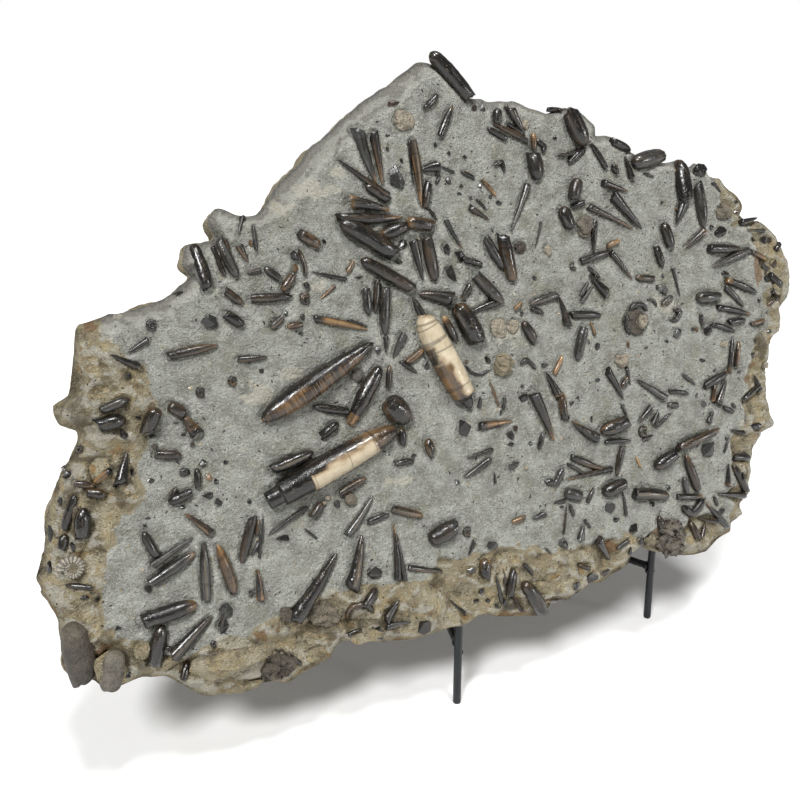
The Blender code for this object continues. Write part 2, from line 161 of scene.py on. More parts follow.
RUST_PATCHES = (
    (180, 52, 7, 8), (435, 14, 26, 6), (75, 327, 5, 4), (534, 62, 12, 8), (735, 226, 6, 5), (725, 210, 7, 6),
    (40, 139, 8, 8), (297, 14, 22, 5), (600, 66, 10, 6), (612, 50, 10, 6), (52, 60, 10, 14), (745, 330, 7, 14),
)

# The largest rostra, which stand for the frame's nodes: node, tip x and y, butt x and y, greatest width,
# height of the axis over the face, and code.
LARGE_ROSTRA = (
    ("pale_rostrum_left", 320, 213, 198, 167, 25, 3.0, "Pd"),
    ("pale_rostrum_right", 347, 328, 395, 222, 25, 3.0, "Pd"),
    ("banded_brown_rostrum", 306, 291, 201, 236, 21, 3.0, "B"), ("crest_rostrum", 382, 538, 420, 501, 15, 3.0, "Db"),
    ("black_bullet_rostrum", 389, 318, 408, 281, 20, 3.0, "Db"),
    ("long_dark_rostrum", 286, 397, 334, 366, 16, 2.5, "D"), ("crossing_rostrum", 302, 364, 348, 335, 12, 2.0, "Bb"),
    ("lower_spear_rostrum", 254, 111, 210, 60, 16, 2.5, "Dc"), ("opened_rostrum", 279, 123, 265, 76, 14, 2.0, "Bdsc"),
    ("amber_tipped_rostrum", 310, 128, 309, 75, 7, 1.0, "Dac"),
    ("blunt_grey_rostrum", 342, 106, 371, 114, 17, 2.0, "Db"), ("left_grey_rostrum", 135, 135, 97, 116, 9, 1.5, "Ga"),
    ("left_red_tipped_rostrum", 131, 92, 87, 86, 14, 2.0, "Da"),
    ("left_ribbed_rostrum", 142, 79, 108, 52, 12, 2.0, "Dsc"),
    ("left_upright_rostrum", 142, 143, 139, 93, 9, 1.5, "Gs"), ("amber_rostrum", 171, 118, 185, 156, 9, 1.5, "B"),
    ("left_brown_rostrum", 130, 168, 149, 148, 8, 1.5, "Bac"),
    ("rim_bullet_rostrum", 118, 257, 109, 240, 13, 2.0, "Db"), ("wedge_rostrum", 138, 248, 147, 232, 12, 2.0, "Bdc"),
    ("flat_topped_rostrum", 243, 203, 205, 193, 11, 1.5, "Ds"),
    ("amber_butt_rostrum", 311, 270, 277, 222, 15, 2.0, "Dp"),
    ("round_dark_rostrum", 333, 217, 314, 240, 23, 2.5, "Bdb"), ("split_rostrum", 293, 156, 266, 125, 8, 1.5, "Gsc"),
    ("brown_curved_rostrum", 339, 130, 309, 142, 8, 1.5, "Bs"),
    ("glossy_brown_rostrum", 239, 337, 203, 338, 8, 1.5, "Bt"),
    ("slender_amber_rostrum", 303, 303, 255, 317, 7, 1.0, "Ad"),
    ("blue_grey_rostrum", 318, 297, 323, 338, 10, 1.5, "G"),
    ("round_nosed_rostrum", 450, 334, 443, 378, 13, 2.0, "Bdb"),
    ("centre_right_rostrum", 481, 180, 463, 227, 12, 2.0, "Dac"),
    ("lined_rostrum", 611, 104, 569, 113, 13, 2.0, "Ds"), ("right_amber_rostrum", 682, 165, 628, 152, 10, 2.0, "B"),
    ("right_wedge_rostrum", 596, 136, 623, 147, 13, 2.0, "D"),
    ("leaf_shaped_rostrum", 534, 181, 565, 187, 15, 2.4, "D"),
    ("steep_black_rostrum", 503, 195, 530, 175, 11, 2.0, "Dc"), ("barrel_rostrum", 532, 120, 556, 125, 14, 2.0, "Db"),
    ("top_brown_rostrum", 538, 457, 524, 487, 18, 2.5, "Dd"),
    ("right_slanted_rostrum", 598, 376, 567, 410, 11, 2.0, "Dc"),
    ("grey_upright_rostrum", 513, 254, 524, 285, 10, 1.5, "Gt"),
    ("far_right_rostrum", 722, 350, 680, 352, 10, 1.5, "D"), ("pink_edged_rostrum", 741, 302, 702, 318, 8, 1.5, "Dp"),
    ("forked_tip_rostrum", 452, 381, 474, 424, 7, 1.0, "Gsc"),
    ("tall_thin_rostrum", 364, 406, 361, 465, 8, 1.0, "Bs"),
)

# The other rostra and their fragments: tip x and y, butt x and y, greatest width, and code.
SMALL_ROSTRA = (
    (153, 138, 162, 96, 10, "A"), (102, 80, 92, 48, 14), (118, 44, 113, 30, 7), (33, 127, 52, 121, 5),
    (288, 73, 276, 59, 9), (312, 118, 316, 73, 5), (308, 57, 294, 41, 9), (317, 35, 294, 35, 6, "G"),
    (205, 30, 212, 20, 4), (184, 110, 184, 83, 8, "Bp"), (190, 135, 180, 123, 3), (190, 140, 187, 119, 3),
    (228, 138, 238, 127, 2.5), (307, 137, 286, 133, 6, "G"), (354, 75, 320, 85, 6, "Bt"), (381, 84, 389, 97, 4, "B"),
    (429, 108, 444, 110, 5.5, "A"), (452, 107, 465, 110, 6), (476, 119, 489, 119, 5), (494, 115, 498, 102, 4, "B"),
    (491, 115, 485, 86, 2.5, "B"), (463, 76, 469, 70, 2.5), (398, 79, 395, 60, 12, "Bab"), (408, 60, 411, 36, 5),
    (416, 65, 417, 50, 4, "B"), (428, 63, 420, 37, 9), (436, 48, 454, 17, 15, "Ds"), (425, 38, 432, 22, 6, "B"),
    (359, 46, 373, 30, 3.5), (460, 24, 474, 20, 4, "B"), (523, 126, 514, 113, 4.5), (489, 127, 507, 121, 12, "Gsb"),
    (556, 117, 559, 92, 4), (509, 97, 516, 87, 3), (508, 91, 503, 77, 8, "G"), (633, 120, 635, 104, 7, "G"),
    (636, 144, 649, 105, 10, "B"), (656, 96, 622, 101, 7, "Dsa"), (598, 85, 603, 64, 8), (544, 60, 560, 66, 5, "B"),
    (534, 52, 524, 73, 10, "B"), (638, 72, 646, 52, 8, "B"), (657, 68, 651, 52, 7, "Bp"), (648, 74, 668, 68, 6, "B"),
    (658, 90, 688, 56, 7, "Da"), (670, 94, 674, 83, 4), (676, 95, 710, 88, 8), (698, 123, 714, 92, 9),
    (692, 125, 690, 102, 6, "Dp"), (722, 127, 700, 131, 9), (98, 267, 76, 260, 8, "G"), (94, 251, 72, 248, 13),
    (127, 258, 138, 250, 11, "Bb"), (133, 216, 113, 220, 8, "B"), (91, 224, 83, 200, 10), (64, 204, 77, 212, 6, "Ad"),
    (64, 201, 50, 206, 6, "B"), (72, 193, 58, 197, 8, "B"), (49, 197, 38, 172, 8), (54, 186, 50, 162, 12),
    (38, 168, 34, 156, 8), (96, 159, 104, 136, 8), (134, 147, 99, 130, 7, "Gs"), (118, 179, 137, 184, 9, "Ds"),
    (126, 190, 121, 183, 3.5, "B"), (144, 204, 143, 188, 6), (247, 242, 278, 234, 8, "Ds"), (268, 225, 252, 216, 9),
    (320, 270, 317, 250, 6, "B"), (196, 137, 233, 156, 4), (246, 158, 236, 146, 8, "Ba"),
    (289, 173, 262, 163, 7, "B"), (190, 152, 187, 140, 4, "A"), (194, 156, 191, 133, 2.5, "G"),
    (326, 213, 326, 198, 7, "Da"), (316, 181, 332, 182, 6), (438, 204, 403, 204, 8, "Ad"), (400, 200, 425, 201, 2.5),
    (417, 247, 425, 220, 3, "A"), (433, 230, 430, 218, 4.5), (498, 260, 487, 243, 5, "A"),
    (478, 246, 490, 223, 9, "Dp"), (494, 226, 495, 198, 8, "Bd"), (464, 173, 470, 187, 5), (388, 176, 414, 180, 5),
    (383, 158, 412, 172, 6, "G"), (350, 200, 353, 185, 9, "B"), (442, 164, 431, 160, 6), (415, 158, 415, 149, 3),
    (564, 210, 548, 240, 8), (563, 222, 571, 230, 6, "Bp"), (574, 223, 571, 240, 4), (571, 167, 540, 170, 5),
    (550, 134, 560, 163, 7, "B"), (537, 142, 499, 161, 7, "Bd"), (514, 141, 495, 154, 4, "B"),
    (493, 139, 546, 142, 6, "Da"), (568, 190, 562, 204, 4), (582, 227, 614, 205, 9, "Gs"), (646, 206, 620, 211, 5),
    (654, 214, 639, 226, 4, "G"), (582, 185, 597, 197, 8, "Da"), (605, 192, 599, 181, 9),
    (617, 197, 631, 196, 6, "G"), (622, 189, 604, 178, 4), (598, 169, 585, 165, 3), (575, 150, 580, 138, 2.5, "A"),
    (706, 259, 699, 223, 6, "Dp"), (714, 254, 708, 227, 6, "B"), (697, 223, 665, 211, 9, "Da"),
    (680, 213, 675, 194, 6, "Bp"), (694, 214, 681, 190, 9, "B"), (675, 184, 668, 173, 7), (703, 179, 689, 186, 5),
    (700, 189, 705, 184, 3.5, "B"), (732, 215, 739, 197, 7, "B"), (714, 189, 739, 203, 6), (697, 160, 715, 155, 6),
    (696, 156, 687, 138, 3), (172, 302, 132, 297, 8, "B"), (101, 303, 118, 312, 5), (88, 303, 108, 291, 7),
    (161, 385, 169, 349, 12, "Db"), (194, 356, 182, 387, 10, "Gs"), (184, 357, 177, 381, 5),
    (191, 373, 188, 387, 3, "B"), (204, 368, 198, 382, 7, "B"), (199, 391, 204, 404, 6, "B"),
    (212, 399, 212, 377, 4, "G"), (267, 378, 250, 389, 10, "Bb"), (246, 367, 242, 374, 6), (251, 348, 253, 343, 5),
    (230, 342, 241, 355, 8, "B"), (202, 359, 214, 360, 5, "B"), (217, 363, 229, 353, 7, "G"),
    (196, 334, 183, 346, 8, "B"), (263, 333, 276, 342, 3.5, "A"), (258, 356, 287, 348, 4),
    (297, 363, 289, 353, 4, "A"), (311, 317, 316, 345, 6, "B"), (305, 316, 305, 339, 8, "G"), (318, 281, 319, 295, 5),
    (324, 277, 337, 296, 8, "G"), (303, 306, 286, 313, 3), (231, 312, 245, 313, 6, "A"), (217, 312, 228, 320, 7, "G"),
    (195, 316, 181, 327, 9), (212, 288, 187, 289, 5.5, "B"), (322, 383, 345, 389, 12, "Da"),
    (348, 394, 373, 389, 12, "Bab"), (359, 342, 353, 378, 9, "Ds"), (371, 340, 366, 379, 12, "Bs"),
    (401, 368, 387, 394, 5, "Ga"), (420, 352, 401, 358, 6), (438, 315, 412, 343, 12, "Gd"),
    (396, 322, 405, 333, 8, "Ba"), (404, 310, 429, 316, 8), (354, 330, 386, 323, 14), (376, 309, 386, 287, 8, "Da"),
    (354, 281, 338, 271, 7, "A"), (346, 260, 331, 272, 4), (441, 347, 425, 377, 9, "Gd"), (477, 365, 485, 387, 3),
    (466, 312, 498, 319, 8, "G"), (481, 302, 468, 308, 5), (458, 314, 450, 308, 4, "A"),
    (457, 297, 468, 278, 10, "B"), (499, 316, 506, 288, 8), (545, 295, 510, 298, 8, "Ds"),
    (532, 290, 536, 277, 4, "A"), (560, 356, 526, 348, 7), (584, 327, 561, 355, 6, "B"), (547, 331, 534, 342, 4, "B"),
    (536, 334, 553, 315, 10), (533, 328, 523, 316, 4, "G"), (540, 327, 523, 309, 4, "G"), (541, 356, 545, 387, 6),
    (508, 401, 516, 380, 13), (588, 377, 539, 400, 7, "B"), (572, 366, 557, 361, 6, "A"),
    (588, 329, 610, 326, 7, "B"), (621, 337, 615, 357, 8), (625, 381, 633, 357, 11), (641, 306, 634, 335, 4),
    (617, 299, 630, 306, 6, "B"), (641, 379, 652, 399, 10), (652, 355, 675, 369, 8, "Bp"),
    (683, 333, 734, 348, 8, "Gd"), (723, 289, 699, 312, 7, "G"), (661, 303, 688, 301, 13, "Gb"),
    (732, 280, 690, 291, 7, "Da"), (665, 287, 668, 274, 5), (710, 264, 681, 274, 6), (724, 275, 702, 274, 7),
    (750, 273, 732, 269, 6, "B"), (744, 380, 723, 376, 8), (733, 368, 754, 366, 4, "B"), (756, 336, 738, 345, 6, "A"),
    (782, 353, 770, 346, 7), (776, 306, 760, 320, 8), (755, 288, 765, 293, 4, "B"), (323, 429, 310, 475, 12, "Ga"),
    (329, 428, 325, 470, 9, "Bd"), (291, 449, 334, 417, 7, "Bt"), (313, 427, 333, 413, 8, "Ds"),
    (333, 405, 299, 413, 12, "Dap"), (345, 398, 287, 400, 10, "Bs"), (374, 491, 389, 503, 6),
    (403, 495, 388, 468, 7, "Da"), (358, 427, 358, 465, 2.5), (366, 439, 381, 441, 10), (385, 442, 399, 436, 3),
    (367, 405, 373, 427, 8, "Ds"), (379, 394, 371, 405, 3), (406, 437, 419, 430, 4), (440, 413, 427, 428, 4, "A"),
    (431, 392, 412, 404, 6, "B"), (429, 401, 420, 411, 3), (484, 426, 481, 451, 15), (483, 470, 483, 455, 6, "A"),
    (442, 479, 477, 462, 6, "Bd"), (436, 475, 454, 465, 6), (447, 492, 447, 481, 9, "G"), (475, 467, 457, 479, 4),
    (474, 469, 461, 492, 9), (507, 448, 536, 453, 6), (519, 441, 537, 455, 6), (545, 461, 562, 435, 6, "Ds"),
    (528, 427, 521, 408, 13, "Db"), (516, 398, 534, 404, 6), (585, 413, 557, 422, 7, "Bd"), (593, 452, 571, 461, 9),
    (570, 440, 573, 431, 7), (584, 447, 591, 425, 7), (592, 440, 622, 446, 17, "Gdb"), (618, 426, 606, 430, 3),
    (648, 442, 653, 403, 18), (675, 373, 670, 418, 12, "Gd"), (701, 408, 691, 418, 4), (518, 491, 500, 491, 5),
    (154, 83, 148, 68, 5, "B"), (438, 66, 445, 55, 4), (500, 52, 512, 46, 5, "B"), (270, 38, 258, 36, 5, "B"),
)

# Curved shells and rings seen in section: points along the middle, width, and code.
CURVED_SHELLS = (
    (((394, 262), (400, 254), (408, 251), (420, 255)), 3), (((451, 256), (459, 261), (468, 250)), 4),
    (((468, 142), (480, 137), (490, 152)), 7, "G"), (((248, 377), (252, 362), (252, 352)), 4, "B"),
    (((628, 90), (640, 79), (657, 93)), 9), (((631, 294), (641, 291), (635, 283), (625, 284)), 5),
    (((440, 441), (449, 445), (450, 434)), 4), (((486, 464), (495, 457), (492, 452)), 5),
    (((578, 296), (584, 302), (594, 302), (600, 295)), 5), (((600, 306), (608, 305), (612, 298)), 3, "B"),
    (((381, 441), (384, 432), (380, 426)), 3), (((518, 348), (514, 343), (520, 341)), 3),
    (((257, 48), (262, 60), (277, 60), (283, 50)), 5, "B"), (((576, 274), (573, 284), (576, 293)), 5),
)
SHELL_RINGS = (
    (141, 54, 6), (71, 44, 6), (103, 251, 4), (154, 265, 9, "B"), (181, 271, 9, "B"), (246, 319, 5),
    (586, 174, 12, "B"), (382, 107, 10, "B"), (122, 323, 10, "G"), (250, 334, 11, "B"), (57, 232, 6), (105, 58, 5),
    (260, 154, 7, "B"),
)

# Angular chips of rostra and shell: x, y, width, height, and code.
CHIPS = (
    (94, 110, 6, 14), (149, 68, 10, 12), (155, 80, 12, 13, "G"), (68, 84, 7, 3), (288, 86, 14, 13, "G"),
    (286, 30, 12, 13), (329, 27, 18, 13), (176, 90, 6, 8, "G"), (209, 132, 14, 6), (407, 89, 14, 9, "G"),
    (485, 113, 5, 3), (484, 75, 13, 11, "G"), (383, 69, 10, 8, "G"), (392, 48, 7, 6), (398, 37, 6, 5),
    (385, 40, 8, 4), (415, 32, 6, 7), (406, 31, 5, 6), (496, 31, 10, 8), (540, 102, 15, 10), (547, 90, 8, 6),
    (592, 98, 6, 5), (613, 112, 5, 6), (568, 78, 18, 9), (576, 62, 9, 8), (588, 62, 10, 10, "B"), (560, 55, 6, 10),
    (514, 36, 14, 10), (529, 39, 12, 9, "B"), (680, 76, 8, 7), (713, 108, 5, 10), (711, 133, 14, 4), (91, 239, 6, 10),
    (132, 243, 5, 2), (112, 234, 6, 3), (143, 223, 5, 4, "B"), (136, 232, 4, 4), (94, 208, 5, 7), (46, 214, 9, 8),
    (44, 219, 6, 6, "B"), (38, 193, 6, 8), (42, 156, 5, 8), (28, 170, 5, 18, "G"), (24, 142, 5, 12),
    (150, 179, 12, 6), (158, 172, 6, 8, "G"), (150, 206, 9, 7, "G"), (152, 194, 6, 9, "A"), (158, 190, 4, 6),
    (134, 202, 9, 8), (129, 210, 4, 3), (107, 199, 6, 4), (129, 173, 4, 4), (101, 169, 5, 2), (168, 205, 4, 4),
    (98, 163, 3, 3), (184, 169, 4, 5), (405, 226, 6, 16), (388, 206, 14, 20), (427, 213, 3, 6), (478, 253, 9, 5),
    (452, 225, 11, 8), (436, 191, 9, 8), (441, 197, 5, 7, "B"), (436, 182, 10, 4), (376, 155, 6, 5), (336, 186, 4, 4),
    (334, 181, 4, 4, "B"), (456, 180, 4, 4), (452, 236, 4, 3), (539, 265, 5, 10), (575, 263, 4, 8, "A"),
    (596, 258, 6, 3), (635, 269, 14, 10, "G"), (622, 262, 4, 4), (536, 232, 7, 4), (655, 203, 4, 4), (505, 213, 6, 4),
    (512, 217, 4, 4), (526, 195, 3, 8), (500, 199, 4, 4), (664, 193, 8, 7), (665, 238, 8, 4), (681, 226, 6, 3),
    (732, 237, 13, 5), (712, 220, 6, 3), (732, 160, 20, 9), (667, 145, 16, 22, "G"), (692, 153, 5, 5),
    (758, 260, 8, 5), (738, 252, 4, 5), (100, 285, 5, 5), (168, 322, 14, 13, "G"), (146, 346, 10, 4),
    (208, 383, 3, 7, "A"), (271, 381, 5, 5), (243, 361, 6, 8, "A"), (299, 349, 8, 3), (232, 323, 3, 6),
    (311, 284, 8, 6), (243, 305, 4, 4), (206, 277, 5, 4), (344, 374, 8, 8), (338, 360, 7, 4), (385, 369, 9, 10),
    (397, 361, 12, 10), (387, 345, 14, 18), (356, 266, 6, 8), (434, 383, 5, 5), (474, 337, 5, 6), (457, 304, 4, 7),
    (418, 265, 6, 8), (396, 265, 5, 4, "A"), (529, 270, 3, 5), (540, 333, 6, 6), (621, 315, 11, 12, "G"),
    (614, 317, 4, 5), (622, 328, 4, 4), (697, 368, 17, 12), (686, 373, 8, 4), (702, 325, 13, 7),
    (660, 270, 5, 6, "A"), (655, 271, 4, 4), (674, 268, 11, 12), (741, 358, 7, 4), (755, 357, 8, 11),
    (762, 357, 5, 8, "B"), (755, 329, 13, 13), (767, 332, 8, 8, "B"), (757, 317, 8, 8), (765, 302, 8, 6),
    (770, 296, 9, 11, "B"), (745, 294, 5, 5), (344, 433, 17, 27, "G"), (393, 429, 6, 8), (413, 413, 4, 4),
    (403, 417, 6, 3), (405, 424, 4, 4), (424, 423, 4, 4), (434, 413, 4, 5), (442, 407, 6, 5), (396, 453, 4, 4),
    (411, 449, 4, 4), (383, 460, 4, 5), (349, 447, 4, 4), (338, 469, 5, 2), (337, 457, 4, 4), (347, 496, 14, 6, "B"),
    (433, 493, 8, 7), (425, 493, 6, 6, "B"), (507, 465, 5, 3), (626, 400, 4, 4), (644, 394, 4, 5, "A"),
    (676, 432, 16, 14), (669, 429, 8, 4, "B"), (721, 398, 6, 4), (719, 388, 6, 4, "B"), (411, 517, 8, 7, "G"),
    (46, 114, 8, 4), (55, 110, 6, 3),
)

# Outline of the three most striking guards: share of the length from the butt, share of the width; then their
# stains: mark, first and last share of the length, from the right side at -1 to the left at 1, and value.
STRIKING = {
    "pale_rostrum_left": (
        ((0.0, 0.3), (0.004, 0.62), (0.10, 0.68), (0.106, 0.90), (0.3, 1.0), (0.6, 0.98), (0.8, 0.86),
         (0.92, 0.66), (0.975, 0.46), (0.994, 0.28), (1.0, 0.05)),
        (("tone", 0.0, 1.0, -1.5, 1.5, 0.55), ("tone", 0.0, 0.31, -1.5, 1.5, -0.1),
         ("tone", 0.31, 0.62, 0.45, 1.5, 0.38), ("chalk", 0.31, 0.82, -1.5, 0.30, 0.74),
         ("chalk", 0.45, 0.86, 0.30, 0.60, 0.40), ("tone", 0.82, 1.0, -1.5, 1.5, 0.50)),
    ),
    "pale_rostrum_right": (
        ((0.0, 0.10), (0.02, 0.30), (0.08, 0.48), (0.12, 0.86), (0.3, 1.0), (0.55, 0.98), (0.7, 0.92), (0.79, 0.72),
         (0.825, 0.45), (0.835, 0.32), (0.93, 0.26), (1.0, 0.05)),
        (("tone", 0.0, 1.0, -1.5, 1.5, 0.62), ("tone", 0.0, 0.12, -1.5, 1.5, -0.1),
         ("tone", 0.82, 1.0, -1.5, 1.5, 0.3), ("chalk", 0.12, 0.83, -1.5, 1.5, 0.80),
         ("chalk", 0.0, 0.44, 0.10, 1.5, 0.1), ("tone", 0.12, 0.44, 0.1, 1.5, 0.74),
         ("chalk", 0.44, 0.60, 0.55, 1.5, 0.2), ("tone", 0.44, 0.62, 0.5, 1.5, 0.05)),
    ),
    "banded_brown_rostrum": (
        ((0.0, 0.10), (0.01, 0.28), (0.04, 0.50), (0.10, 0.73), (0.20, 0.90), (0.35, 1.0), (0.55, 0.97), (0.75, 0.78),
         (0.9, 0.50), (0.97, 0.32), (1.0, 0.08)),
        (("tone", 0.0, 1.0, -1.5, 1.5, 0.50), ("tone", 0.0, 0.10, -1.5, 1.5, 0.36), ("tone", 0.0, 1.0, 0.50, 1.5, 0.0),
         ("tone", 0.44, 1.0, 0.05, 1.5, 0.10), ("tone", 0.88, 1.0, -1.5, 1.5, 0.12),
         ("striae", 0.0, 0.9, -1.5, 0.5, 1.0), ("tone", 0.43, 0.45, -1.5, 1.5, 0.0)),
    ),
    "round_dark_rostrum": (
        ((0.0, 0.1), (0.02, 0.5), (0.1, 0.8), (0.3, 1.0), (0.6, 0.95), (0.8, 0.75), (0.93, 0.5), (1.0, 0.1)),
        (("tone", 0.0, 1.0, -1.5, 1.5, 0.30), ("tone", 0.5, 0.9, -0.5, 0.4, 0.45)),
    ),
    "amber_butt_rostrum": (
        ((0.0, 0.2), (0.02, 0.45), (0.1, 0.55), (0.25, 0.78), (0.45, 1.0), (0.7, 0.97), (0.87, 0.78), (0.96, 0.5),
         (1.0, 0.1)),
        (("tone", 0.0, 1.0, -1.5, 1.5, 0.22), ("tone", 0.0, 0.18, -1.5, 1.5, 0.8), ("tone", 0.5, 0.9, -0.9, 0.0, 0.4)),
    ),
}

# Blocks of the rim's own stone: x, y, width, height, how far it stands out, and how chalky it is.
BLOCKS = (
    (152, 36, 58, 34, 10, 0.6), (160, 12, 40, 12, 7, 0.25), (58, 50, 27, 32, 6, 0.0), (84, 62, 16, 16, 5, 0.0),
    (100, 47, 20, 13, 4, 0.0), (228, 24, 26, 14, 4, 0.2), (275, 30, 30, 12, 4, 0.35), (455, 38, 34, 14, 3, 0.2),
    (505, 44, 26, 16, 3, 0.1), (70, 214, 18, 26, 4, 0.1), (770, 304, 10, 16, 3, 0.0),
)

# Weathered rods of the rim, dull like pebbles: x and y of the tip, x and y of the butt, width, code.
WEATHERED_RODS = ((34, 97, 38, 48, 23, "Db"), (64, 67, 56, 38, 19, "Nb"))

# Rounded bodies: x, y, width, height, how far it stands out, and code.
NODULES = (
    (612, 60, 29, 38, 10, "N"), (533, 381, 17, 24, 5, "N"), (433, 258, 20, 20, 5, "O"), (566, 249, 14, 14, 4, "A"),
    (460, 366, 13, 11, 4), (491, 361, 9, 10, 2, "W"), (432, 293, 16, 19, 2, "W"), (447, 293, 12, 12, 2, "W"),
    (354, 482, 19, 17, 3, "W"), (477, 478, 8, 9, 2, "W"), (695, 252, 11, 6, 2, "W"), (702, 388, 15, 15, 5, "B"),
    (585, 285, 26, 25, 3), (592, 285, 13, 12, 8, "W"), (272, 156, 12, 12, 4, "B"), (290, 264, 12, 11, 2, "G"),
    (113, 226, 4, 4, 2), (252, 161, 5, 5, 2, "A"), (248, 156, 4, 4, 2, "A"), (240, 60, 31, 27, 4, "B"),
    (192, 23, 30, 25, 7), (749, 225, 7, 7, 3, "A"), (205, 65, 12, 14, 3), (588, 62, 12, 12, 5, "O"),
    (449, 158, 5, 4, 2, "A"),
)


def add_node(tree: NodeTree, kind: str, inputs: Optional[dict[Any, Any]] = None, **settings: Any) -> Node:
    """Add a node with its settings and links.

    Args:
        tree: The node tree that gets the node.
        kind: The node's type name.
        inputs: Input name or number to a value, to the socket that feeds it, or to a node whose first output does.
        **settings: Properties of the node itself.

    Returns:
        The new node.
    """
    node = tree.nodes.new(kind)
    for key, value in settings.items():
        setattr(node, key, value)
    for key, value in (inputs or {}).items():
        if isinstance(value, Node):
            value = value.outputs[0]
        if isinstance(value, NodeSocket):
            tree.links.new(value, node.inputs[key])
        else:
            node.inputs[key].default_value = value
    return node


def linear(hex_colour: str) -> tuple[float, float, float, float]:
    """Turn an sRGB hex colour to linear.

    Args:
        hex_colour: Six hex digits after a hash sign.

    Returns:
        Linear red, green and blue, and an alpha of one.
    """
    parts = [int(hex_colour[i:i + 2], 16) / 255.0 for i in (1, 3, 5)]
    red, green, blue = (p / 12.92 if p <= 0.04045 else ((p + 0.055) / 1.055) ** 2.4 for p in parts)
    return red, green, blue, 1.0


class Space(Enum):
    """Which way a pattern runs."""

    BLOCK = "through the stone"
    STREAK = "in streaks down a guard"
    BAND = "in bands round a guard"


class Pattern(Enum):
    """Which kind of pattern: clouds, round pits, or a net of cracks."""

    CLOUDS = "clouds"
    PITS = "pits"
    CRACKS = "cracks"


@dataclass(frozen=True)
class Coat:
    """One pattern over a surface: its value is mark + ragged * (pattern - 0.5).

    Attributes:
        colour: Its colour, as sRGB hex.
        size: Distance between its patches, in millimetres.
        low: The value where it starts to show.
        high: The value where it shows in full; lower than low to show where the value is low.
        amount: How strongly it shows.
        mark: The mesh attribute that it follows; everywhere alike without one.
        ragged: How ragged its edge is.
        rough: The roughness that it gives, if it changes it.
        pattern: Its kind of pattern.
        space: Which way it runs.
    """

    colour: str
    size: float
    low: float
    high: float
    amount: float = 1.0
    mark: str = ""
    ragged: float = 1.0
    rough: Optional[float] = None
    pattern: Pattern = Pattern.CLOUDS
    space: Space = Space.BLOCK

    def value(self, tree: NodeTree, places: dict[Space, Node]) -> Node:
        """Build the nodes of its value.

        Args:
            tree: The material's nodes.
            places: Where a surface point lies, in millimetres, for each way a pattern can run.

        Returns:
            The node that gives it.
        """
        common = {"Vector": places[self.space], "Scale": 1.0 / self.size}
        if self.pattern is Pattern.CLOUDS:
            drawn = add_node(tree, "ShaderNodeTexNoise", common | {"Detail": 3.0, "Roughness": 0.6})
        else:
            feature = "F1" if self.pattern is Pattern.PITS else "DISTANCE_TO_EDGE"
            drawn = add_node(tree, "ShaderNodeTexVoronoi", common, feature=feature)
        middle = 0.5
        if self.mark:
            middle = add_node(tree, "ShaderNodeAttribute", attribute_name=self.mark).outputs["Fac"]
        start = add_node(tree, "ShaderNodeMath", {0: middle, 1: 0.5 * self.ragged}, operation="SUBTRACT")
        return add_node(tree, "ShaderNodeMath", {0: drawn, 1: self.ragged, 2: start}, operation="MULTIPLY_ADD")

    def share(self, tree: NodeTree, places: dict[Space, Node]) -> Node:
        """Build the nodes of how far it covers what lies under it.

        Args:
            tree: The material's nodes.
            places: Where a surface point lies, in millimetres, for each way a pattern can run.

        Returns:
            The node that gives it, from 0 to amount.
        """
        return add_node(tree, "ShaderNodeMapRange",
                        {"Value": self.value(tree, places), "From Min": self.low, "From Max": self.high,
                         "To Max": self.amount}, interpolation_type="SMOOTHSTEP")


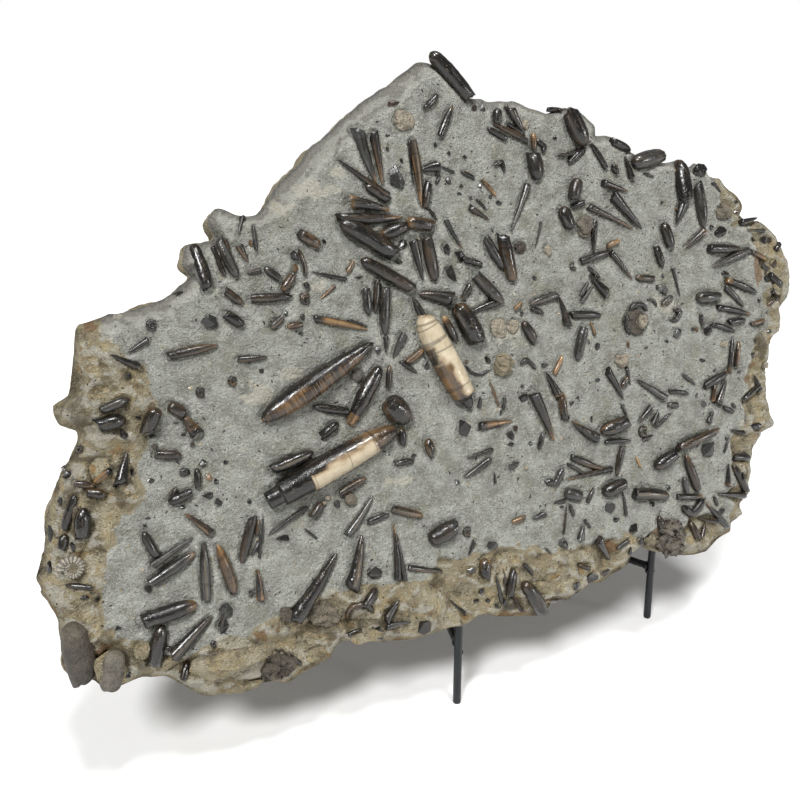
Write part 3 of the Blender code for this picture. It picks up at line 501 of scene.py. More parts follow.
@dataclass(frozen=True)
class Finish:
    """The finish of a surface: a range of colours, coats over it, and grain that raises it.

    Attributes:
        name: What it is and how it was made.
        colours: Places from 0 to 1 along the base's value, with a colour at each.
        base: The pattern that picks the base colour.
        coats: What lies over it, in order.
        grain: Bump patterns; their amount is the height in millimetres.
        rough: Roughness of the base.
        ior: Index of refraction.
        gloss: Strength of a clear polish over it.
    """

    name: str
    colours: tuple[tuple[float, str], ...]
    base: Coat
    coats: tuple[Coat, ...]
    grain: tuple[Coat, ...]
    rough: float
    ior: float = 1.5
    gloss: float = 0.0

    @staticmethod
    def _places(tree: NodeTree) -> dict[Space, Node]:
        """Build the coordinates of each way a pattern can run.

        Args:
            tree: The material's nodes.

        Returns:
            The nodes that give them, in millimetres.
        """
        here = add_node(tree, "ShaderNodeTexCoord").outputs["Object"]
        marks = {axis: add_node(tree, "ShaderNodeAttribute", attribute_name=key).outputs["Fac"]
                 for axis, key in (("X", "run"), ("Y", "around"), ("Z", "seed"))}
        joined = add_node(tree, "ShaderNodeCombineXYZ", marks)
        return {space: add_node(tree, "ShaderNodeVectorMath", {0: start, 1: stretch}, operation="MULTIPLY")
                for space, start, stretch in ((Space.BLOCK, here, (1.0 / MM,) * 3),
                                              (Space.STREAK, joined, (0.12, 26.0, 40.0)),
                                              (Space.BAND, joined, (1.0, 3.0, 40.0)))}

    def make(self) -> Material:
        """Build the material.

        Returns:
            The new material.
        """
        material = bpy.data.materials.new(self.name)
        material.use_nodes = True
        tree = material.node_tree
        tree.nodes.clear()
        places = self._places(tree)
        ramp = add_node(tree, "ShaderNodeValToRGB", {0: self.base.value(tree, places)})
        stops = ramp.color_ramp.elements
        for number, (position, colour) in enumerate(self.colours):
            stop = stops[number] if number < 2 else stops.new(position)
            stop.position, stop.color = position, linear(colour)
        colour, rough, raised = ramp.outputs[0], self.rough, None
        for coat in self.coats:
            share = coat.share(tree, places)
            colour = add_node(tree, "ShaderNodeMix", {0: share, 6: colour, 7: linear(coat.colour)},
                              data_type="RGBA").outputs[2]
            if coat.rough is not None:
                rough = add_node(tree, "ShaderNodeMix", {0: share, 2: rough, 3: coat.rough}, data_type="FLOAT")
        for grain in self.grain:
            share = grain.share(tree, places)
            raised = share if raised is None else add_node(tree, "ShaderNodeMath", {0: raised, 1: share},
                                                           operation="ADD")
        bump = add_node(tree, "ShaderNodeBump", {"Height": raised, "Distance": MM, "Strength": 1.0})
        shader = add_node(tree, "ShaderNodeBsdfPrincipled",
                          {"Base Color": colour, "Roughness": rough, "Normal": bump, "IOR": self.ior,
                           "Coat Weight": self.gloss, "Coat Roughness": POLISH_ROUGHNESS})
        add_node(tree, "ShaderNodeOutputMaterial", {"Surface": shader})
        return material


# Limy clay stone, cleaned with hand tools: a dull, dry grey with fine pale and dark specks, stained grey-brown
# on its slopes and weathered to a crumbly ochre with brown pits at its broken rim.
# Shade is painted into its hollows, clefts, cracks, round each fossil and in patches near its edges, and a highlight
# onto its raised ridges.
MARL = Finish(
    "tooled_and_weathered_marl",
    ((0.30, "#7E7E74"), (0.44, "#92928A"), (0.54, "#9FA097"), (0.68, "#AFAFA6")),
    Coat("", 15.0, 0.0, 1.0, ragged=1.0),
    (
        Coat("#B3B4AC", 3.6, 0.53, 0.66, 0.55),
        Coat("#74746A", 2.4, 0.54, 0.66, 0.55),
        Coat("#82806E", 24.0, 0.54, 0.66, 0.5),
        Coat("#CFCEC4", 1.4, 0.61, 0.67, 0.7),
        Coat("#3F3E37", 1.2, 0.61, 0.66, 0.75),
        Coat("#86837A", 12.0, 0.35, 0.75, 0.75, "slope", 0.6),
        Coat("#968B70", 9.0, 0.35, 0.65, 1.0, "rim", 0.9, 0.95),
        Coat("#B0A78E", 22.0, 0.93, 1.10, 0.8, "rim"),
        Coat("#B29F76", 13.0, 0.97, 1.14, 0.6, "rim"),
        Coat("#5B4F38", 17.0, 1.00, 1.16, 0.75, "rim"),
        Coat("#916E38", 15.0, 1.10, 1.20, 0.7, "rim"),
        Coat("#C9C1AA", 2.2, 1.10, 1.17, 0.5, "rim"),
        Coat("#4A4232", 3.4, 1.11, 1.17, 0.75, "rim"),
        # Painted highlight on raised ridges of the face.
        Coat("#C2C1B7", 2.4, 0.50, 1.10, 0.55, "painted_ridge_highlight", 0.9),
        # Painted shade in the patches near the slab's edges.
        Coat("#5A4F39", 4.0, 0.30, 1.20, 0.8, "shade", 1.2),
        # Painted shade in hollows, clefts, cracks and round each fossil, over a few dark stains at random.
        Coat("#2A2821", 1.8, 0.30, 0.90, 0.75, "painted_hollow_shade_and_stain", 0.5),
        Coat("#C4BEAD", 4.0, 0.55, 1.05, 0.6, "chalk", 1.0),
        Coat("#7C5A33", 4.0, 0.50, 0.90, 0.7, "rust", 0.9),
    ),
    (
        Coat("", 1.1, 0.3, 0.7, 1.1), Coat("", 2.8, 0.3, 0.7, 2.3),
        Coat("", 3.2, 0.40, 0.10, -1.1, pattern=Pattern.PITS),
        Coat("", 5.5, 0.8, 1.2, 2.8, "rim"), Coat("", 2.2, 0.8, 1.2, 0.9, "rim"),
    ),
    0.9,
)

# Belemnite guards and shell of solid calcite, polished clean: from glossy black through brown to honey where
# light gets into it, some blue-grey or weathered to cream, with hairline cracks round them.
CALCITE = Finish(
    "polished_fossil_calcite",
    ((0.00, "#0B0A09"), (0.22, "#12100E"), (0.36, "#1F1912"), (0.50, "#36291B"), (0.64, "#55412B"),
     (0.80, "#785A38"), (1.00, "#A08052")),
    Coat("", 7.0, 0.0, 1.0, 1.0, "tone", 1.5, space=Space.STREAK),
    (
        Coat("#44423F", 2.0, 0.56, 0.66, 0.4, space=Space.STREAK),
        Coat("#685A46", 1.1, 0.58, 0.66, 0.4, space=Space.STREAK),
        Coat("#4C4840", 1.3, 0.60, 0.66, 0.25, rough=0.6),
        Coat("#191613", 45.0, 0.48, 0.58, 0.5, rough=0.42),
        Coat("#595A57", 3.0, 0.35, 0.95, 0.85, "grey", 0.9, 0.42, space=Space.STREAK),
        Coat("#8E7A5F", 6.0, 0.10, 0.50, 1.0, "chalk", 0.5, 0.34),
        Coat("#B1A48B", 6.0, 0.35, 0.85, 1.0, "chalk", 0.7, 0.38),
        Coat("#8A755A", 3.0, 0.84, 1.00, 0.6, "chalk", space=Space.STREAK),
        Coat("#C6BAA4", 10.0, 0.80, 1.00, 0.6, "chalk"),
        Coat("#5A5038", 1.5, 0.96, 1.02, 0.5, "chalk"),
        Coat("#8B8065", 3.0, 0.30, 0.80, 0.9, "ochre", 0.7, 0.9),
        Coat("#675E4F", 1.6, 0.45, 1.05, 0.55, "seam", 0.9, 0.6, space=Space.STREAK),
        Coat("#7C6043", 1.0, 0.97, 1.10, 0.6, "striae", space=Space.BAND),
        Coat("#1D1712", 1.3, 1.02, 1.12, 0.6, "striae", space=Space.BAND),
        Coat("#0B0A09", 26.0, 0.024, 0.006, 0.5, "", 1.0, None, Pattern.CRACKS, Space.BAND),
    ),
    (
        Coat("", 1.4, 0.3, 0.7, 0.04), Coat("", 1.5, 0.3, 0.7, 0.05, space=Space.STREAK),
        Coat("", 7.0, 0.3, 0.7, 0.2),
        Coat("", 2.2, 0.62, 0.72, -0.14),
    ),
    0.23, 1.5, 0.25,
)

# Rounded mudstone pebbles and chalky patches, worn smooth by water: matt, faintly mottled, pinkish brown to white.
PEBBLE = Finish(
    "water_worn_mudstone",
    ((0.00, "#2C2822"), (0.25, "#4C453A"), (0.50, "#6F6657"), (0.75, "#93897A"), (1.00, "#AFA592")),
    Coat("", 7.0, 0.0, 1.0, 1.0, "tone", 0.5),
    (
        Coat("#7A7A76", 5.0, 0.30, 0.80, 0.7, "grey", 0.6),
        Coat("#A29A88", 4.0, 0.35, 0.90, 0.85, "chalk", 0.8),
        Coat("#867C64", 4.0, 0.35, 0.95, 0.8, "ochre", 0.8),
        Coat("#4A4338", 1.7, 0.57, 0.64, 0.7),
    ),
    (Coat("", 1.4, 0.3, 0.7, 0.5), Coat("", 6.0, 0.3, 0.7, 1.2), Coat("", 3.0, 0.40, 0.10, -0.8, pattern=Pattern.PITS)),
    0.6,
)

# Round steel bar, sprayed satin black: a bluish black with a soft long highlight, fine orange peel and a
# little dust.
PAINT = Finish(
    "satin_black_sprayed_steel",
    ((0.35, "#0C0F12"), (0.65, "#14181C")),
    Coat("", 20.0, 0.0, 1.0),
    (Coat("#2B3033", 5.0, 0.58, 0.72, 0.25, rough=0.6), Coat("#07090B", 9.0, 0.60, 0.75, 0.4)),
    (Coat("", 1.4, 0.3, 0.7, 0.05), Coat("", 6.0, 0.3, 0.7, 0.06)),
    0.42,
    1.4,
)

# Seamless photographer's paper: matt and nearly white, with the faintest mottling.
PAPER = Finish(
    "seamless_white_paper",
    ((0.3, "#F4F4F3"), (0.7, "#FAFAFA")),
    Coat("", 220.0, 0.0, 1.0),
    (Coat("#F0F0EF", 60.0, 0.6, 0.8, 0.3),),
    (Coat("", 8.0, 0.3, 0.7, 0.02),),
    0.95,
)


def soft_step(values: ndarray, low: float, high: float) -> ndarray:
    """Ease from 0 at low to 1 at high.

    Args:
        values: Numbers to ease.
        low: Where the step starts.
        high: Where it ends.

    Returns:
        Numbers from 0 to 1.
    """
    t = np.clip((values - low) / (high - low), 0.0, 1.0)
    return t * t * (3.0 - 2.0 * t)


def corner_heights(x: ndarray, y: ndarray, seed: int) -> tuple[ndarray, ...]:
    """Look up chance heights at the corners of the unit cells that places lie in.

    Args:
        x: Places across, in cells.
        y: Places up, in cells.
        seed: Which pattern of heights.

    Returns:
        How far each place is across and up its cell, and the heights at its four corners, row by row.
    """
    table = np.random.default_rng(seed).uniform(-1.0, 1.0, (128, 128))
    i, j = np.floor(x).astype(int), np.floor(y).astype(int)
    return x - i, y - j, *(table[(i + right) % 128, (j + up) % 128] for up in (0, 1) for right in (0, 1))


def lumps(x: ndarray, y: ndarray, size: float, seed: int) -> ndarray:
    """Give smooth random lumps over a plane.

    Args:
        x: Places across, in millimetres.
        y: Places up, in millimetres.
        size: Distance between lumps, in millimetres.
        seed: Which pattern of lumps.

    Returns:
        Heights from -1 to 1.
    """
    fx, fy, a, b, c, d = corner_heights(np.asarray(x) / size + 31.7 * seed, np.asarray(y) / size + 17.3 * seed, seed)
    fx, fy = soft_step(fx, 0.0, 1.0), soft_step(fy, 0.0, 1.0)
    return (a * (1 - fx) + b * fx) * (1 - fy) + (c * (1 - fx) + d * fx) * fy


def facets(x: ndarray, y: ndarray, size: float, seed: int) -> ndarray:
    """Give a surface of flat chipped faces over a plane.

    Args:
        x: Places across, in millimetres.
        y: Places up, in millimetres.
        size: Width of the faces, in millimetres.
        seed: Which pattern of faces.

    Returns:
        Heights from -1 to 1.
    """
    across = (0.87 * x + 0.5 * y) / size + 0.35 * lumps(x, y, size * 1.3, seed + 1) + 21.0 * seed
    up = (0.87 * y - 0.5 * x) / size + 0.35 * lumps(x, y, size * 1.3, seed + 2) + 13.0 * seed
    fx, fy, a, b, c, d = corner_heights(across, up, seed)
    return np.where(fx + fy < 1.0, a + (b - a) * fx + (c - a) * fy, d + (c - d) * (1 - fx) + (b - d) * (1 - fy))


@dataclass(frozen=True)
class Roughness:
    """Lumps and chipped faces of several sizes, added up.

    Attributes:
        soft: Height, size and seed of each kind of lump, in millimetres.
        sharp: The same for each kind of chipped face.
    """

    soft: tuple[tuple[float, float, int], ...] = ()
    sharp: tuple[tuple[float, float, int], ...] = ()

    def over(self, x: ndarray, y: ndarray) -> ndarray:
        """Give its height over places on a plane, in millimetres."""
        layers = [(lumps, row) for row in self.soft] + [(facets, row) for row in self.sharp]
        return sum(height * shape(x, y, size, seed) for shape, (height, size, seed) in layers)


FACE_SWELLS = Roughness(((1.4, 95.0, 1), (1.3, 34.0, 2), (0.9, 13.0, 3)))
FACE_GRAIN = Roughness(((0.45, 6.5, 4), (0.2, 2.9, 7)), ((0.35, 4.2, 23),))
RIM_BREAKS = Roughness((), ((8.0, 38.0, 11), (5.2, 16.0, 14), (1.9, 6.5, 17)))
RIM_BORDER = Roughness(((5.0, 16.0, 21), (3.0, 6.0, 22)))
EDGE_BREAKS = Roughness((), ((1.6, 14.0, 5), (0.9, 6.0, 8)))
BACK_BREAKS = Roughness(((0.5, 9.0, 86),), ((2.2, 60.0, 82), (1.3, 22.0, 84)))
PATCH_BORDER = Roughness(((0.6, 8.0, 51), (0.3, 3.5, 52)))


def distance_to_line(x: ndarray, y: ndarray, points: Sequence[Sequence[float]],
                     radii: Optional[Sequence[float]] = None) -> ndarray:
    """Measure how far places lie from a line of points, or from a body round it.

    Args:
        x: Places across.
        y: Places up.
        points: The line's corners.
        radii: The body's half width at each corner; none for the bare line.

    Returns:
        Distances, in the same unit; below zero inside the body.
    """
    best = np.full(np.shape(x), FAR)
    halves = [0.0] * len(points) if radii is None else radii
    for (ax, ay), (bx, by), start, end in zip(points, points[1:], halves, halves[1:]):
        dx, dy = bx - ax, by - ay
        t = np.clip(((x - ax) * dx + (y - ay) * dy) / max(dx * dx + dy * dy, 1e-9), 0.0, 1.0)
        best = np.minimum(best, np.hypot(x - ax - t * dx, y - ay - t * dy) - start - t * (end - start))
    return best


def inside(x: ndarray, y: ndarray, ring: Sequence[Sequence[float]]) -> ndarray:
    """Tell which places lie inside a closed ring.

    Args:
        x: Places across.
        y: Places up.
        ring: The ring's corners.

    Returns:
        True where a place is inside.
    """
    found = np.zeros(np.shape(x), bool)
    for (ax, ay), (bx, by) in zip(ring, list(ring[1:]) + [ring[0]]):
        if ay != by:
            found ^= ((ay > y) != (by > y)) & (x < (bx - ax) * (y - ay) / (by - ay) + ax)
    return found


def mark_points(data: Mesh, marks: dict[str, Any]) -> None:
    """Store named marks at a mesh's points, for its node tree or its finish.

    Args:
        data: The mesh.
        marks: A number or a vector for each point, by name.
    """
    for key, rows in marks.items():
        values = np.asarray(rows, np.float32)
        kind, part = ("FLOAT", "value") if values.ndim == 1 else ("FLOAT_VECTOR", "vector")
        data.attributes.new(key, kind, "POINT").data.foreach_set(part, values.ravel())


def new_mesh(name: str, points: Any, edges: Sequence[Any], faces: Sequence[Any], marks: dict[str, Any]) -> Mesh:
    """Make a mesh with marks at its points.

    Args:
        name: Its name.
        points: Rows of x, y and z.
        edges: Pairs of point numbers.
        faces: Rings of point numbers.
        marks: A number or a vector for each point, by name.

    Returns:
        The mesh.
    """
    data = bpy.data.meshes.new(name)
    data.from_pydata([tuple(point) for point in points], edges, faces)
    mark_points(data, marks)
    return data


def finish_shape(name: str, data: Mesh, material: Material, place: Matrix = Matrix(), smooth: bool = True) -> Object:
    """Make a plain mesh object, facing outwards.

    Args:
        name: The piece's name.
        data: Its mesh.
        material: Its finish.
        place: From the mesh's unit to metres in the frame.
        smooth: Whether its faces are shaded smooth.

    Returns:
        The object, linked to the scene.
    """
    data.name = name
    data.transform(place)
    shape = bmesh.new()
    shape.from_mesh(data)
    bmesh.ops.recalc_face_normals(shape, faces=shape.faces)
    shape.to_mesh(data)
    shape.free()
    data.materials.clear()
    data.materials.append(material)
    data.polygons.foreach_set("use_smooth", [smooth] * len(data.polygons))
    piece = bpy.data.objects.new(name, data)
    bpy.context.scene.collection.objects.link(piece)
    return piece


def keep(piece: Object, slot: str, *nodes: str) -> None:
    """Put a finished piece on the object's one body.

    Args:
        piece: The piece, in place.
        slot: Not used.
        *nodes: The frame's nodes that it stands for.
    """
    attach(piece, "root")
    if nodes:
        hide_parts(*nodes)
    LOG.info("%s: %d faces", piece.name, len(piece.data.polygons))


@dataclass
class SlabFrame:
    """Where the slab and its stand are: turns their millimetres into the frame's metres.

    Attributes:
        left_foot: The left front leg's foot, in metres.
    """

    left_foot: Vector

    def slab(self) -> Matrix:
        """Turn the slab's millimetres to metres in the frame.

        Returns:
            The matrix that does it.
        """
        turn = Matrix((Vector((1.0, 0.0, 0.0)), UP_FACE, OUT_OF_FACE)).transposed().to_4x4()
        start = self.left_foot + (FACE_FOOT - Vector((FACE_FOOT_X, 0.0, 0.0))) * MM
        return Matrix.Translation(start) @ turn @ Matrix.Scale(MM, 4)

    def stand(self) -> Matrix:
        """Give the matrix from stand millimetres, from the left foot, to metres in the frame."""
        return Matrix.Translation(self.left_foot) @ Matrix.Scale(MM, 4)


@dataclass
class Relief:
    """The shape of the dressed face: how high it stands, what it is stained with, and where shade is painted on it.

    Attributes:
        socket_depth: How far the matrix is cut down round a fossil, in millimetres.
        rim_drop: How far the weathered rim lies below the dressed face.
        edge: The broken edge where it truly lies: rows of x, y, depth and slope width.
        sockets: The middle line and half widths of each fossil set in the face.
    """

    socket_depth: float = 1.3
    rim_drop: float = 2.0
    edge: ndarray = field(init=False)
    sockets: list[tuple[ndarray, ndarray]] = field(init=False, default_factory=list)

    def __post_init__(self) -> None:
        """Work out where the broken edge truly lies, from where it was read."""
        rows = np.array([(x, y, depth, width) for depth, width, *places in RIM for x, y in places], float)
        places = EYE_OVER + (rows[:, :2] - EYE_OVER) * (1.0 + rows[:, 2:3] / EYE_DISTANCE)
        self.edge = np.hstack([places, rows[:, 2:]])

    def outline(self) -> list[tuple[float, ...]]:
        """Give the broken edge's corners, as x and y."""
        return [tuple(p) for p in self.edge[:, :2]]

    def fine_edge(self, step: float) -> ndarray:
        """Draw the edge as an even, rough line.

        Args:
            step: Distance between its points, in millimetres.

        Returns:
            Rows of x, y, depth, slope width and outward x and y.
        """
        rows = self.edge
        before, after, last = np.roll(rows, 1, 0), np.roll(rows, -1, 0), np.roll(rows, -2, 0)
        pieces = []
        for t in np.linspace(0.0, 1.0, 12, endpoint=False):
            bend = 0.5 * (2 * rows + (after - before) * t + (2 * before - 5 * rows + 4 * after - last) * t * t
                          + (3 * rows - before - 3 * after + last) * t ** 3)
            pieces.append(EDGE_BEND * bend + (1.0 - EDGE_BEND) * (rows * (1 - t) + after * t))
        dense = np.stack(pieces, 1).reshape(-1, rows.shape[1])
        closed = np.vstack([dense, dense[:1]])
        run = np.concatenate([[0.0], np.cumsum(np.hypot(*np.diff(closed[:, :2], axis=0).T))])
        at = np.linspace(0.0, run[-1], int(run[-1] / step), endpoint=False)
        line = np.stack([np.interp(at, run, closed[:, k]) for k in range(4)], 1)
        along = np.roll(line[:, :2], -3, 0) - np.roll(line[:, :2], 3, 0)
        out = np.stack([-along[:, 1], along[:, 0]], 1) / np.hypot(*along.T)[:, None]
        line[:, :2] += out * EDGE_BREAKS.over(at, at * 0)[:, None]
        return np.hstack([line, out])

    def rim_amount(self, x: ndarray, y: ndarray) -> ndarray:
        """Give how far a place belongs to the weathered rim, from 0 on the grey face to 1."""
        away = distance_to_line(x, y, GREY_FACE + GREY_FACE[:1]) * np.where(inside(x, y, GREY_FACE), -1.0, 1.0)
        return soft_step(away + RIM_BORDER.over(x, y), -5.0, 6.0)

    def edge_drop(self, x: ndarray, y: ndarray) -> tuple[ndarray, ndarray]:
        """Give how the surface falls away towards the broken edge.

        Args:
            x: Places across.
            y: Places up.

        Returns:
            The fall in millimetres, and how far each place is along the slope, from 0 to 1 at the edge.
        """
        best, depth, slope = np.full(np.shape(x), FAR), np.zeros(np.shape(x)), np.ones(np.shape(x))
        for a, b in zip(self.edge, np.roll(self.edge, -1, 0)):
            dx, dy = b[0] - a[0], b[1] - a[1]
            t = np.clip(((x - a[0]) * dx + (y - a[1]) * dy) / (dx * dx + dy * dy), 0.0, 1.0)
            away = np.hypot(x - a[0] - t * dx, y - a[1] - t * dy)
            nearer = away < best
            best = np.where(nearer, away, best)
            depth = np.where(nearer, a[2] + t * (b[2] - a[2]), depth)
            slope = np.where(nearer, a[3] + t * (b[3] - a[3]), slope)
        reach = slope * (1.25 + 0.35 * lumps(x, y, 22.0, 33))
        amount = np.clip(1.0 - best / reach, 0.0, 1.0)
        return depth * amount ** 1.5, amount

    def base(self, x: ndarray, y: ndarray) -> ndarray:
        """Give the height of the face with no sockets cut in it.

        Args:
            x: Places across.
            y: Places up.

        Returns:
            Heights in millimetres.
        """
        rim = self.rim_amount(x, y)
        fall, amount = self.edge_drop(x, y)
        scraped = np.abs(lumps(x * 0.8 + y * 0.6, (y * 0.8 - x * 0.6) * 2.6, 12.0, 9))
        height = FACE_SWELLS.over(x, y) + 0.55 * (0.35 - scraped) * (1.0 - rim)
        height += rim * (RIM_BREAKS.over(x, y) - self.rim_drop)
        return height * (1.0 - 0.6 * amount) - fall

    def full(self, x: ndarray, y: ndarray) -> tuple[ndarray, dict[str, ndarray]]:
        """Give the height of the face with its sockets and cracks, and its stains and painted shade.

        Args:
            x: Places across.
            y: Places up.

        Returns:
            Heights in millimetres, and the stains and painted shade by name, from 0 to 1.
        """
        height = self.base(x, y) + FACE_GRAIN.over(x, y)
        rim = self.rim_amount(x, y)
        # Dark stains at random, more on the rim; painted shade is added to the same mark below.
        painted_hollow_shade_and_stain = 0.35 * soft_step(-lumps(x, y, 8.0, 41), 0.45, 0.9) * (0.4 + 0.6 * rim)
        cleft = np.exp(-(lumps(x, y, 30.0, 61) / 0.05) ** 2) * soft_step(lumps(x, y, 20.0, 62), 0.0, 0.4) * rim
        height -= CLEFT_DEPTH * cleft
        # Painted shade in the rim's clefts.
        painted_hollow_shade_and_stain = np.maximum(painted_hollow_shade_and_stain, PAINTED_HOLLOW_SHADE * cleft)
        for line, radii in self.sockets:
            half = float(max(radii))
            low, high = line.min(0) - half - 8.0, line.max(0) + half + 8.0
            near = np.flatnonzero((x > low[0]) & (x < high[0]) & (y > low[1]) & (y < high[1]))
            away = distance_to_line(x[near], y[near], line, radii)
            moat = np.exp(-(np.maximum(away, 0.0) / (1.0 + 0.12 * half)) ** 2)
            height[near] -= self.socket_depth * min(1.3, half / 3.5) * moat
            # Painted contact shadow: a dark line round each fossil.
            painted_hollow_shade_and_stain[near] = np.maximum(painted_hollow_shade_and_stain[near], PAINTED_HOLLOW_SHADE * np.exp(-((away - 0.1) / 0.7) ** 2))
        for line in CRACKS:
            away = distance_to_line(x, y, line)
            height -= CRACK_DEPTH * np.exp(-(away / 1.2) ** 2)
            # Painted shade along each crack.
            painted_hollow_shade_and_stain = np.maximum(painted_hollow_shade_and_stain, PAINTED_HOLLOW_SHADE * np.exp(-(away / 0.9) ** 2))
        _, amount = self.edge_drop(x, y)
        stains = {"rim": rim, "painted_hollow_shade_and_stain": painted_hollow_shade_and_stain, "slope": soft_step(amount, 0.05, 0.45)}
        ragged = PATCH_BORDER.over(x, y)
        # Chalk and rust stains, and patches of painted shade.
        for name, patches in (("chalk", PALE_PATCHES), ("rust", RUST_PATCHES), ("shade", SHADY_PATCHES)):
            stains[name] = np.zeros_like(x)
            for px, py, half_x, half_y in patches:
                size = np.hypot((x - px) / half_x, (y - py) / half_y) + ragged
                stains[name] = np.maximum(stains[name], 1.0 - soft_step(size, 0.65, 1.15))
        return height, stains

    def true_place(self, x: float, y: float) -> tuple[float, float, float]:
        """Turn a place as read into where it truly lies, with the height there.

        Args:
            x: Place across, as read.
            y: Place up, as read.

        Returns:
            x, y and the height of the face there.
        """
        height = 0.0
        for _ in range(2):
            spot = EYE_OVER + (np.array([x, y], float) - EYE_OVER) * (1.0 - height / EYE_DISTANCE)
            height = float(self.base(spot[:1], spot[1:])[0])
        return float(spot[0]), float(spot[1]), height

    def dig(self, x: float, y: float, across: float) -> tuple[float, float, float]:
        """Cut a round socket in the face.

        Args:
            x: Place across, as read.
            y: Place up, as read.
            across: Its width.

        Returns:
            Where it truly lies, with the height there.
        """
        at_x, at_y, level = self.true_place(x, y)
        self.sockets.append((np.array([(at_x, at_y), (at_x + 0.1, at_y)]), np.full(2, across / 2.0)))
        return at_x, at_y, level


@dataclass
class MatrixSlab:
    """The slab of marl that everything is set in.

    Attributes:
        relief: The shape of its face.
        cell: Distance between the points of its face, in millimetres.
        side_rows: How many rows of points its broken sides have.
        back_cell: Distance between the points of its back.
        behind: How strongly the rim's and the slope's stains show on its sides and its back.
    """

    relief: Relief
    cell: float = 2.15
    side_rows: int = 13
    back_cell: float = 5.0
    behind: dict[str, tuple[float, float]] = field(default_factory=lambda: {"rim": (1.0, 0.86), "slope": (1.0, 1.0)})

    @staticmethod
    def _spread(cells: ndarray) -> ndarray:
        """Mark every corner of the marked cells.

        Args:
            cells: True for each marked cell.

        Returns:
            True for each marked corner, on a grid that is one longer each way.
        """
        marked = np.zeros(np.add(cells.shape, 1), bool)
        for i in (0, 1):
            for j in (0, 1):
                marked[i:i + cells.shape[0], j:j + cells.shape[1]] |= cells
        return marked

    def _cells(self) -> tuple[ndarray, ndarray, ndarray]:
        """Choose which cells of a grid over the face are kept.

        Returns:
            The grid's x and y lines, and True for each kept cell.
        """
        low, high = self.relief.edge[:, :2].min(0) - 6.0, self.relief.edge[:, :2].max(0) + 6.0
        xs, ys = np.arange(low[0], high[0], self.cell), np.arange(low[1], high[1], self.cell)
        mid_x, mid_y = np.meshgrid(xs[:-1] + self.cell / 2, ys[:-1] + self.cell / 2, indexing="ij")
        ring = self.relief.outline()
        kept = inside(mid_x, mid_y, ring) & (distance_to_line(mid_x, mid_y, ring + ring[:1]) > self.cell * 0.7)
        for _ in range(6):
            kept = self._spread(kept[:-1, :-1] & kept[1:, :-1] & kept[:-1, 1:] & kept[1:, 1:])
            a, b, c, d = kept[:-1, :-1], kept[1:, :-1], kept[:-1, 1:], kept[1:, 1:]
            kept[1:, :-1] |= a & d & ~b & ~c
            kept[:-1, :-1] |= b & c & ~a & ~d
        return xs, ys, kept

    @staticmethod
    def _hollow(height: ndarray, used: ndarray) -> ndarray:
        """Tell how far each point lies below those round it.

        Args:
            height: Height of each used point.
            used: Which points of the grid are used.

        Returns:
            Millimetres below them, for each used point.
        """
        weight, total = used.astype(float), np.zeros(used.shape)
        total[used] = height
        for _ in range(5):
            for grid in (weight, total):
                grid[1:-1, 1:-1] = (grid[2:, 1:-1] + grid[:-2, 1:-1] + grid[1:-1, 2:] + grid[1:-1, :-2]
                                    + grid[1:-1, 1:-1]) / 5.0
        return (total / np.maximum(weight, 1e-6))[used] - height

    @staticmethod
    def _border(kept: ndarray) -> ndarray:
        """Walk round the kept cells.

        Args:
            kept: True for each kept cell.

        Returns:
            The grid corners of the longest border, in order, with the cells on the left.
        """
        padded = np.pad(kept, 1)
        step: dict[tuple[int, int], tuple[int, int]] = {}
        for i, j in zip(*np.nonzero(kept)):
            corners = ((i, j), (i + 1, j), (i + 1, j + 1), (i, j + 1))
            beside = ((i + 1, j), (i + 2, j + 1), (i + 1, j + 2), (i, j + 1))
            step |= {a: b for a, b, cell in zip(corners, corners[1:] + corners[:1], beside) if not padded[cell]}
        loops = []
        while step:
            start = corner = next(iter(step))
            loop = []
            while corner in step:
                loop.append(corner)
                corner = step.pop(corner)
            loops.append(loop if corner == start else [])
        return np.array(max(loops, key=len))

    def _on_edge(self, spots: ndarray) -> tuple[ndarray, ndarray]:
        """Find where the border's points go on the broken edge.

        Args:
            spots: x and y of the border's points.

        Returns:
            Their places, depths, slope widths and outward directions on the edge, and how far along it they are.
        """
        edge = self.relief.fine_edge(self.cell)[::-1]
        nearest = np.array([int(np.argmin(np.hypot(*(edge[:, :2] - s).T))) for s in spots], float)
        turns = np.unwrap(nearest * (2 * math.pi / len(edge))) * (len(edge) / (2 * math.pi))
        wrapped = np.concatenate([turns[-3:] - len(edge), turns, turns[:3] + len(edge)])
        smooth = np.maximum.accumulate([wrapped[k:k + 7].mean() for k in range(len(turns))])
        closed = np.vstack([edge, edge[:1]])
        places = [np.interp(smooth % len(edge), np.arange(len(closed)), column) for column in closed.T]
        return np.stack(places, 1), smooth * self.cell

    def build(self, place: SlabFrame, material: Material) -> None:
        """Build the slab.

        Args:
            place: Where the slab stands.
            material: Its stone.
        """
        xs, ys, kept = self._cells()
        grid = np.stack(np.meshgrid(xs, ys, indexing="ij"))
        border = self._border(kept)
        at = (slice(None), border[:, 0], border[:, 1])
        on_edge, run = self._on_edge(grid[at].T)
        pull = np.zeros_like(grid)
        pull[at] = on_edge[:, :2].T - grid[at]
        fixed = (pull != 0).any(0)
        held = pull[:, fixed]
        for _ in range(3):
            pull[:, 1:-1, 1:-1] = (pull[:, 2:, 1:-1] + pull[:, :-2, 1:-1] + pull[:, 1:-1, 2:]
                                   + pull[:, 1:-1, :-2]) / 3.2
            pull[:, fixed] = held
        used = self._spread(kept)
        number = np.full(used.shape, -1)
        number[used] = np.arange(used.sum())
        x, y = (grid + pull)[:, used]
        z, stains = self.relief.full(x, y)
        ring_ids = number[border[:, 0], border[:, 1]]
        z[ring_ids] = -on_edge[:, 2] + 0.8 * lumps(run, run * 0, 7.0, 61)
        hollow = self._hollow(z, used)
